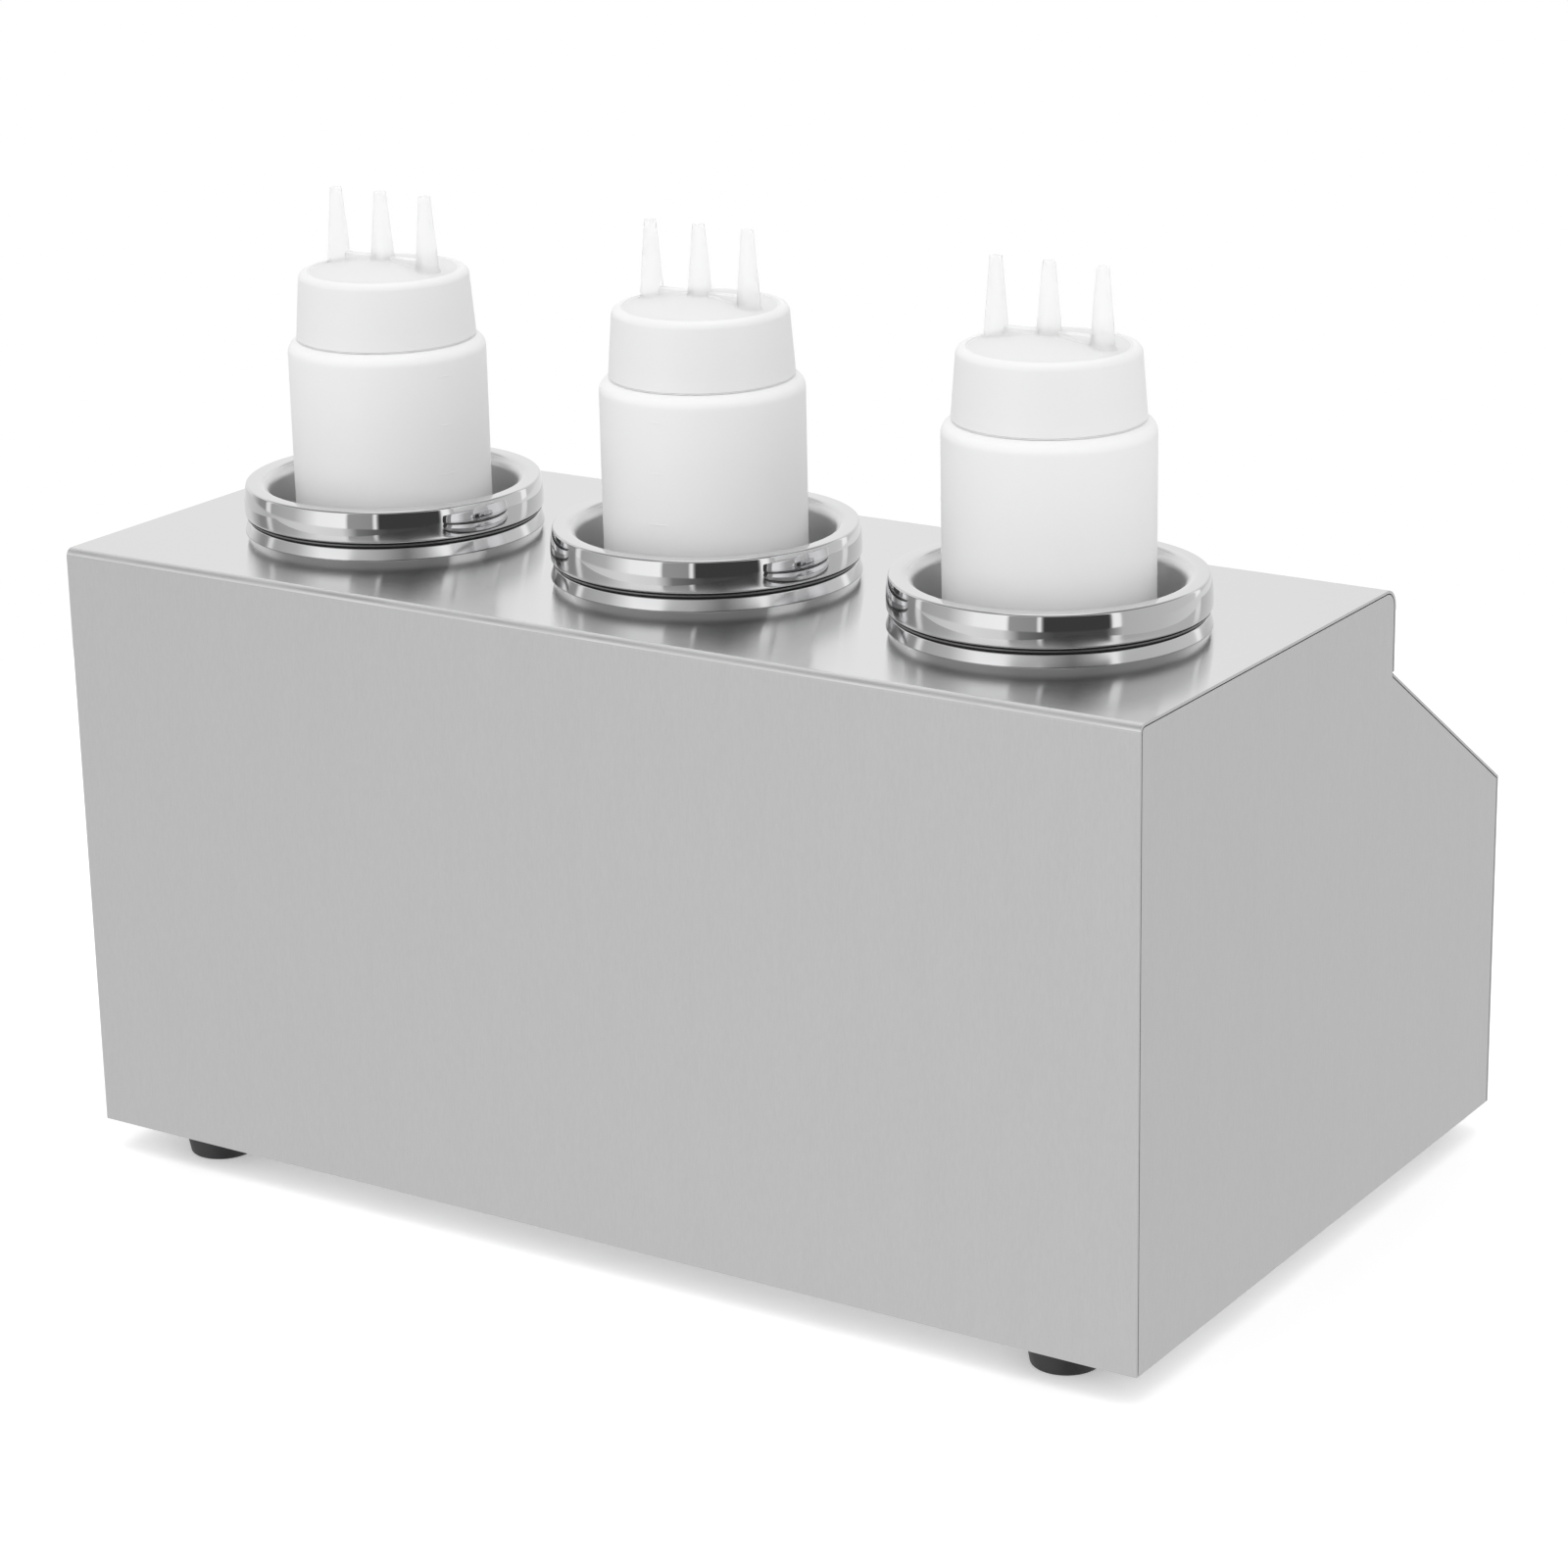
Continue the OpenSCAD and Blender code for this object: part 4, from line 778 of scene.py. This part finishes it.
# repeats one small mesh by a node graph, on a ring of the local frame or on a list of points
def repeated(name, unit, mat, frameAt, spots=None, count=0, radius=0.0, start=0.0, sweep=0.0):
    holder = bpy.data.objects.new(name + "Unit", unit)
    tree = bpy.data.node_groups.new(name, "GeometryNodeTree")
    face = tree.interface
    face.new_socket(name="Geometry", in_out="INPUT", socket_type="NodeSocketGeometry")
    face.new_socket(name="Count", in_out="INPUT", socket_type="NodeSocketInt")
    for label in ("Radius", "Start", "Sweep"):
        face.new_socket(name=label, in_out="INPUT", socket_type="NodeSocketFloat")
    face.new_socket(name="Geometry", in_out="OUTPUT", socket_type="NodeSocketGeometry")
    nodes, links = tree.nodes, tree.links
    entry, leave = nodes.new("NodeGroupInput"), nodes.new("NodeGroupOutput")
    info = nodes.new("GeometryNodeObjectInfo")
    info.inputs["Object"].default_value = holder
    put = nodes.new("GeometryNodeInstanceOnPoints")
    links.new(info.outputs["Geometry"], put.inputs["Instance"])
    if spots is None:
        dots = nodes.new("GeometryNodePoints")
        links.new(entry.outputs["Count"], dots.inputs["Count"])
        order = nodes.new("GeometryNodeInputIndex")
        gaps = mathNode(tree, "SUBTRACT", entry.outputs["Count"], 1.0)
        step = mathNode(tree, "DIVIDE", entry.outputs["Sweep"], gaps)
        passed = mathNode(tree, "MULTIPLY", order.outputs[0], step)
        angle = mathNode(tree, "ADD", entry.outputs["Start"], passed)
        spot = nodes.new("ShaderNodeCombineXYZ")
        for axis, kind in (("X", "COSINE"), ("Y", "SINE")):
            part = mathNode(tree, kind, angle, 0.0)
            links.new(mathNode(tree, "MULTIPLY", part, entry.outputs["Radius"]), spot.inputs[axis])
        links.new(spot.outputs[0], dots.inputs["Position"])
        turn = nodes.new("ShaderNodeCombineXYZ")
        links.new(angle, turn.inputs["Z"])
        links.new(turn.outputs[0], put.inputs["Rotation"])
    else:
        dots = nodes.new("GeometryNodeMeshToPoints")
        links.new(entry.outputs["Geometry"], dots.inputs["Mesh"])
    links.new(dots.outputs[0], put.inputs["Points"])
    real = nodes.new("GeometryNodeRealizeInstances")
    paint = nodes.new("GeometryNodeSetMaterial")
    paint.inputs["Material"].default_value = mat
    links.new(put.outputs[0], real.inputs[0])
    links.new(real.outputs[0], paint.inputs["Geometry"])
    links.new(paint.outputs[0], leave.inputs[0])
    base = bpy.data.meshes.new(name + "Base")
    base.from_pydata([tuple(p) for p in spots] if spots else [(0, 0, 0)], [], [])
    host = linked(name + "Host", base)
    mod = host.modifiers.new(name, "NODES")
    mod.node_group = tree
    given = {"Count": count, "Radius": radius, "Start": start, "Sweep": sweep}
    for item in face.items_tree:
        if item.in_out == "INPUT" and item.name in given:
            mod[item.identifier] = given[item.name]
    shown = host.evaluated_get(bpy.context.evaluated_depsgraph_get())
    mesh = bpy.data.meshes.new_from_object(shown)
    host.modifiers.remove(mod)
    bpy.data.objects.remove(host)
    bpy.data.objects.remove(holder)
    mesh.transform(frameAt)
    return linked(name, mesh)


# dial: printed scale of ticks and plain numbers, in degrees
def makeDial(i):
    size = {"face": 0.6 * mm, "ink": 0.06 * mm, "sink": 0.1 * mm, "tickIn": 21.4 * mm, "tick": 1.6 * mm,
            "tickWide": 0.35 * mm, "longTick": 2.7 * mm, "longWide": 0.55 * mm, "ticksApart": 4,
            "numbers": (0, 20, 30, 40, 50, 60, 70, 80, 90), "numberRing": 27.7 * mm,
            "numberTall": 4.6 * mm, "numberInk": 0.054 * mm, "bold": 0.05 * mm, "curveSteps": 3,
            "sweep": 270}
    ink = finishes["print"]
    at = slopeFoot(i) @ Matrix.Translation((0, 0, size["face"]))
    dial = copyNode(f"dial_plate_{i}", f"dial{i}", [finishes["dial_metal"]])
    place(dial, "cabinet", "dial_metal", f"dial_plate_{i}")
    top = math.pi / 2
    sweep = -math.radians(size["sweep"])
    gaps = len(size["numbers"]) - 1
    for name, count, length, width in (
            ("Ticks", gaps * size["ticksApart"] + 1, size["tick"], size["tickWide"]),
            ("LongTicks", gaps + 1, size["longTick"], size["longWide"])):
        bm = bmesh.new()
        blockOn(bm, (0, -width / 2, -size["sink"]), (length, width / 2, size["ink"]))
        unit = outwardMesh(f"tick{name}{i}", bm, [ink])
        made = repeated(f"dial{i}{name}", unit, ink, at, None, count, size["tickIn"], top, sweep)
        place(made, "cabinet", "dial_metal")
    for k, number in enumerate(size["numbers"]):
        angle = top + sweep * k / gaps
        curve = bpy.data.curves.new(f"number{i}at{k}", "FONT")
        curve.body = str(number)
        curve.size = size["numberTall"]
        curve.align_x = curve.align_y = "CENTER"
        curve.extrude = size["numberInk"]
        curve.offset = size["bold"]
        curve.resolution_u = size["curveSteps"]
        text = linked(f"number{i}at{k}", curve)
        mesh = bpy.data.meshes.new_from_object(text.evaluated_get(bpy.context.evaluated_depsgraph_get()))
        bpy.data.objects.remove(text)
        spot = (size["numberRing"] * math.cos(angle), size["numberRing"] * math.sin(angle), 0)
        mesh.transform(at @ Matrix.Translation(spot))
        mesh.materials.clear()
        mesh.materials.append(ink)
        place(linked(f"dial{i}Number{k}", mesh), "cabinet", "dial_metal")


# knob: the turned body and its grip, fine ribs round the body and a white line in the pointer's groove
def makeKnob(i):
    node = f"knob_{i}"
    size = {"ribs": 48, "ribRadius": 14.1 * mm, "ribWide": 0.5 * mm, "ribIn": 0.6 * mm,
            "ribOut": 0.5 * mm, "ribLow": 4.6 * mm, "ribHigh": 8.2 * mm, "ribEdge": 0.15 * mm,
            "ribEdgeSteps": 2, "lineWide": 1.1 * mm, "lineIn": 5.6 * mm, "lineOut": 13.2 * mm,
            "lineDeep": 0.6 * mm, "lineLift": 0.12 * mm}
    plastic = finishes["knob_plastic"]
    at = slopeFoot(i)
    place(copyNode(node, f"knob{i}", [plastic]), f"knob_{i}", "knob_plastic", node)
    corners = [Vector(v.co) for v in frame["nodes"][node].data.vertices]
    top = max((p - at.translation).dot(slopeNormal) for p in corners)
    half = size["lineWide"] / 2
    bm = bmesh.new()
    blockOn(bm, (-half, size["lineIn"], top - size["lineDeep"]),
            (half, size["lineOut"], top - size["lineLift"]), at)
    place(meshObject(f"knob{i}Line", bm, [finishes["paintWhite"]]), f"knob_{i}", "knob_plastic")
    half = size["ribWide"] / 2
    bm = bmesh.new()
    blockOn(bm, (-size["ribIn"], -half, size["ribLow"]), (size["ribOut"], half, size["ribHigh"]))
    bmesh.ops.bevel(bm, geom=list(bm.edges), offset=size["ribEdge"], segments=size["ribEdgeSteps"],
                    affect="EDGES")
    unit = outwardMesh(f"ribUnit{i}", bm, [plastic])
    ribs, sweep = size["ribs"], 2 * math.pi * (size["ribs"] - 1) / size["ribs"]
    made = repeated(f"knob{i}Ribs", unit, plastic, at, None, ribs, size["ribRadius"], 0.0, sweep)
    place(made, f"knob_{i}", "knob_plastic")


# pilot lamp: amber lens in a bright bezel
def makeLamp(i):
    size = {"lens": 6.1 * mm, "front": 0.3 * mm}
    node = f"pilot_lamp_{i}"
    foot = slopeFoot(i).translation
    points = [Vector(v.co) for v in frame["nodes"][node].data.vertices]
    head = [p for p in points if p.dot(slopeNormal) > foot.dot(slopeNormal)]
    hub = sum(head, Vector()) / len(head)

    def pick(face):
        spot = face.calc_center_median()
        out = spot - hub
        away = (out - slopeNormal * out.dot(slopeNormal)).length
        return 0 if away < size["lens"] and (spot - foot).dot(slopeNormal) > size["front"] else 1
    lamp = copyNode(node, f"lamp{i}", [finishes["lamp_amber"], finishes["polished_steel"]], pick)
    place(lamp, "cabinet", "lamp_amber", node)


# rocker switch with its off and on marks, one on each half of the rocker's face
def makeSwitch():
    size = {"bar": (0.9 * mm, 5.2 * mm), "ring": 2.3 * mm, "ringWire": 0.42 * mm, "ringSides": 40,
            "proud": 0.05 * mm, "sink": 0.1 * mm, "leastFacing": 0.5}
    plastic = finishes["black_plastic"]
    place(copyNode("switch_body", "switchBody", [plastic]), "cabinet", "black_plastic", "switch_body")
    rocker = copyNode("switch_rocker", "switchRocker", [plastic])
    place(rocker, "rocker", "black_plastic", "switch_rocker")
    faces = [f for f in rocker.data.polygons if f.normal.dot(slopeNormal) > size["leastFacing"]]
    halves = sorted(sorted(faces, key=lambda f: -f.area)[:2], key=lambda f: f.center.z)
    proud, sink = size["proud"], size["sink"]
    for face, mark in zip(halves, ("Off", "On")):
        at = faceFrame(face.center, face.normal.copy())
        bm = bmesh.new()
        if mark == "On":
            wide, tall = size["bar"]
            blockOn(bm, (-wide / 2, -tall / 2, -sink), (wide / 2, tall / 2, proud), at)
        else:
            inner, outer = size["ring"] - size["ringWire"], size["ring"] + size["ringWire"]
            section = ((inner, -sink), (outer, -sink), (outer, proud), (inner, proud))
            rings = [circle(bm, Vector(), out, z, size["ringSides"], at) for out, z in section]
            skin(bm, rings + rings[:1], ())
        place(meshObject(f"rocker{mark}", bm, [finishes["paintWhite"]]), "rocker", "black_plastic")


# rubber foot with the recess for its screw
def makeFoot(node, name):
    low, high, c = lowOf(node), highOf(node), middle(node)
    size = {"ground": 12.5 * mm, "recess": 6.5 * mm, "recessDepth": 5 * mm, "edge": 1.0 * mm,
            "taper": -5, "steps": 5, "hole": 2.15 * mm, "sides": 96}
    r = (high.x - low.x) / 2
    e, steps = size["edge"], size["steps"]
    recess, recessZ = size["recess"], low.z + size["recessDepth"]
    profile = [(recess, low.z)] + arc(size["ground"] - e, low.z + e, e, -90, size["taper"], steps)
    profile += arc(r - e, high.z - e, e, 0, 90, steps)
    profile += [(size["hole"], high.z), (size["hole"], recessZ), (recess, recessZ)]
    bm = bmesh.new()
    turnProfile(bm, profile, c, size["sides"])
    place(meshObject(name, bm, [finishes["foot_rubber"]]), "cabinet", "foot_rubber", node)


# low and high corners of the separate solids in one node
def solidsOf(node):
    bm = bmesh.new()
    bm.from_mesh(frame["nodes"][node].data)
    bmesh.ops.remove_doubles(bm, verts=bm.verts, dist=mergeGap)
    left = set(bm.verts)
    found = []
    while left:
        island, queue = set(), [left.pop()]
        while queue:
            vert = queue.pop()
            island.add(vert)
            for edge in vert.link_edges:
                other = edge.other_vert(vert)
                if other in left:
                    left.discard(other)
                    queue.append(other)
        found.append([Vector([pick(v.co[k] for v in island) for k in range(3)]) for pick in (min, max)])
    bm.free()
    return found


# screws seen from below: pan head with a cross recess, shank upward
def makeScrews(node, name, headTall):
    size = {"edge": 0.7 * mm, "steps": 5, "recess": 1.1 * mm, "recessShare": 0.6, "arm": 0.52,
            "armWide": 0.17, "shank": 2.0 * mm, "tip": 0.6 * mm, "sides": 48}
    solids = solidsOf(node)
    low, high = solids[0]
    r = (high.x - low.x) / 2
    tall = high.z - low.z
    e, shank, tip, share = size["edge"], size["shank"], size["tip"], size["recessShare"]
    path = arc(r - e, e, e, -90, 0, size["steps"])
    path += [(r, headTall), (shank, headTall), (shank, tall - tip), (shank - tip, tall)]
    bm = bmesh.new()
    rings = [circle(bm, Vector(), x, z, size["sides"]) for x, z in path]
    skin(bm, rings, (-1,))
    arm, wide = size["arm"] * r, size["armWide"] * r
    cross = [(wide, wide), (wide, arm), (-wide, arm), (-wide, wide), (-arm, wide), (-arm, -wide),
             (-wide, -wide), (-wide, -arm), (wide, -arm), (wide, -wide), (arm, -wide), (arm, wide)]
    mouth = [bm.verts.new((x, y, 0)) for x, y in cross]
    deep = [bm.verts.new((x * share, y * share, size["recess"])) for x, y in cross]
    skin(bm, [mouth, deep], (-1,))
    rim = [bm.edges.get(pair) for loop in (rings[0], mouth) for pair in zip(loop, loop[1:] + loop[:1])]
    bmesh.ops.triangle_fill(bm, edges=rim, use_beauty=True)
    steel = finishes["screw_steel"]
    unit = outwardMesh(name + "Screw", bm, [steel])
    spots = [((a.x + b.x) / 2, (a.y + b.y) / 2, a.z) for a, b in solids]
    made = repeated(name, unit, steel, Matrix.Identity(4), spots)
    place(made, "cabinet", "screw_steel", node)


# the CAD nodes that show as they are get the finish of their slot
def dressPlainNodes():
    slots = {s["node"]: s["material_slot"] for s in frame["record"]["subparts"]}
    for node, obj in frame["nodes"].items():
        obj.data.materials.clear()
        obj.data.materials.append(finishes[slots[node]])


addCamera()
addStudio()
dressPlainNodes()
dressCabinet()
for i in wells:
    makePot(i)
    makeWell(i)
    makeGasket(i)
    makeBottle(i)
    makeCap(i)
print("wells and bottles made")
for node, name in (("foot_rear_left", "footRearLeft"), ("foot_rear_right", "footRearRight"),
                   ("foot_front_left", "footFrontLeft"), ("foot_front_right", "footFrontRight")):
    makeFoot(node, name)

for i in wells:
    makeDial(i)
    makeKnob(i)
    makeLamp(i)
makeSwitch()
print("control side made")
makeScrews("foot_screws", "footScrews", 2.6 * mm)
makeScrews("base_screws", "baseScrews", 2.2 * mm)
bush = copyNode("cord_bush", "cordBush", [finishes["black_plastic"]])
place(bush, "cabinet", "black_plastic", "cord_bush")
print("underside made")
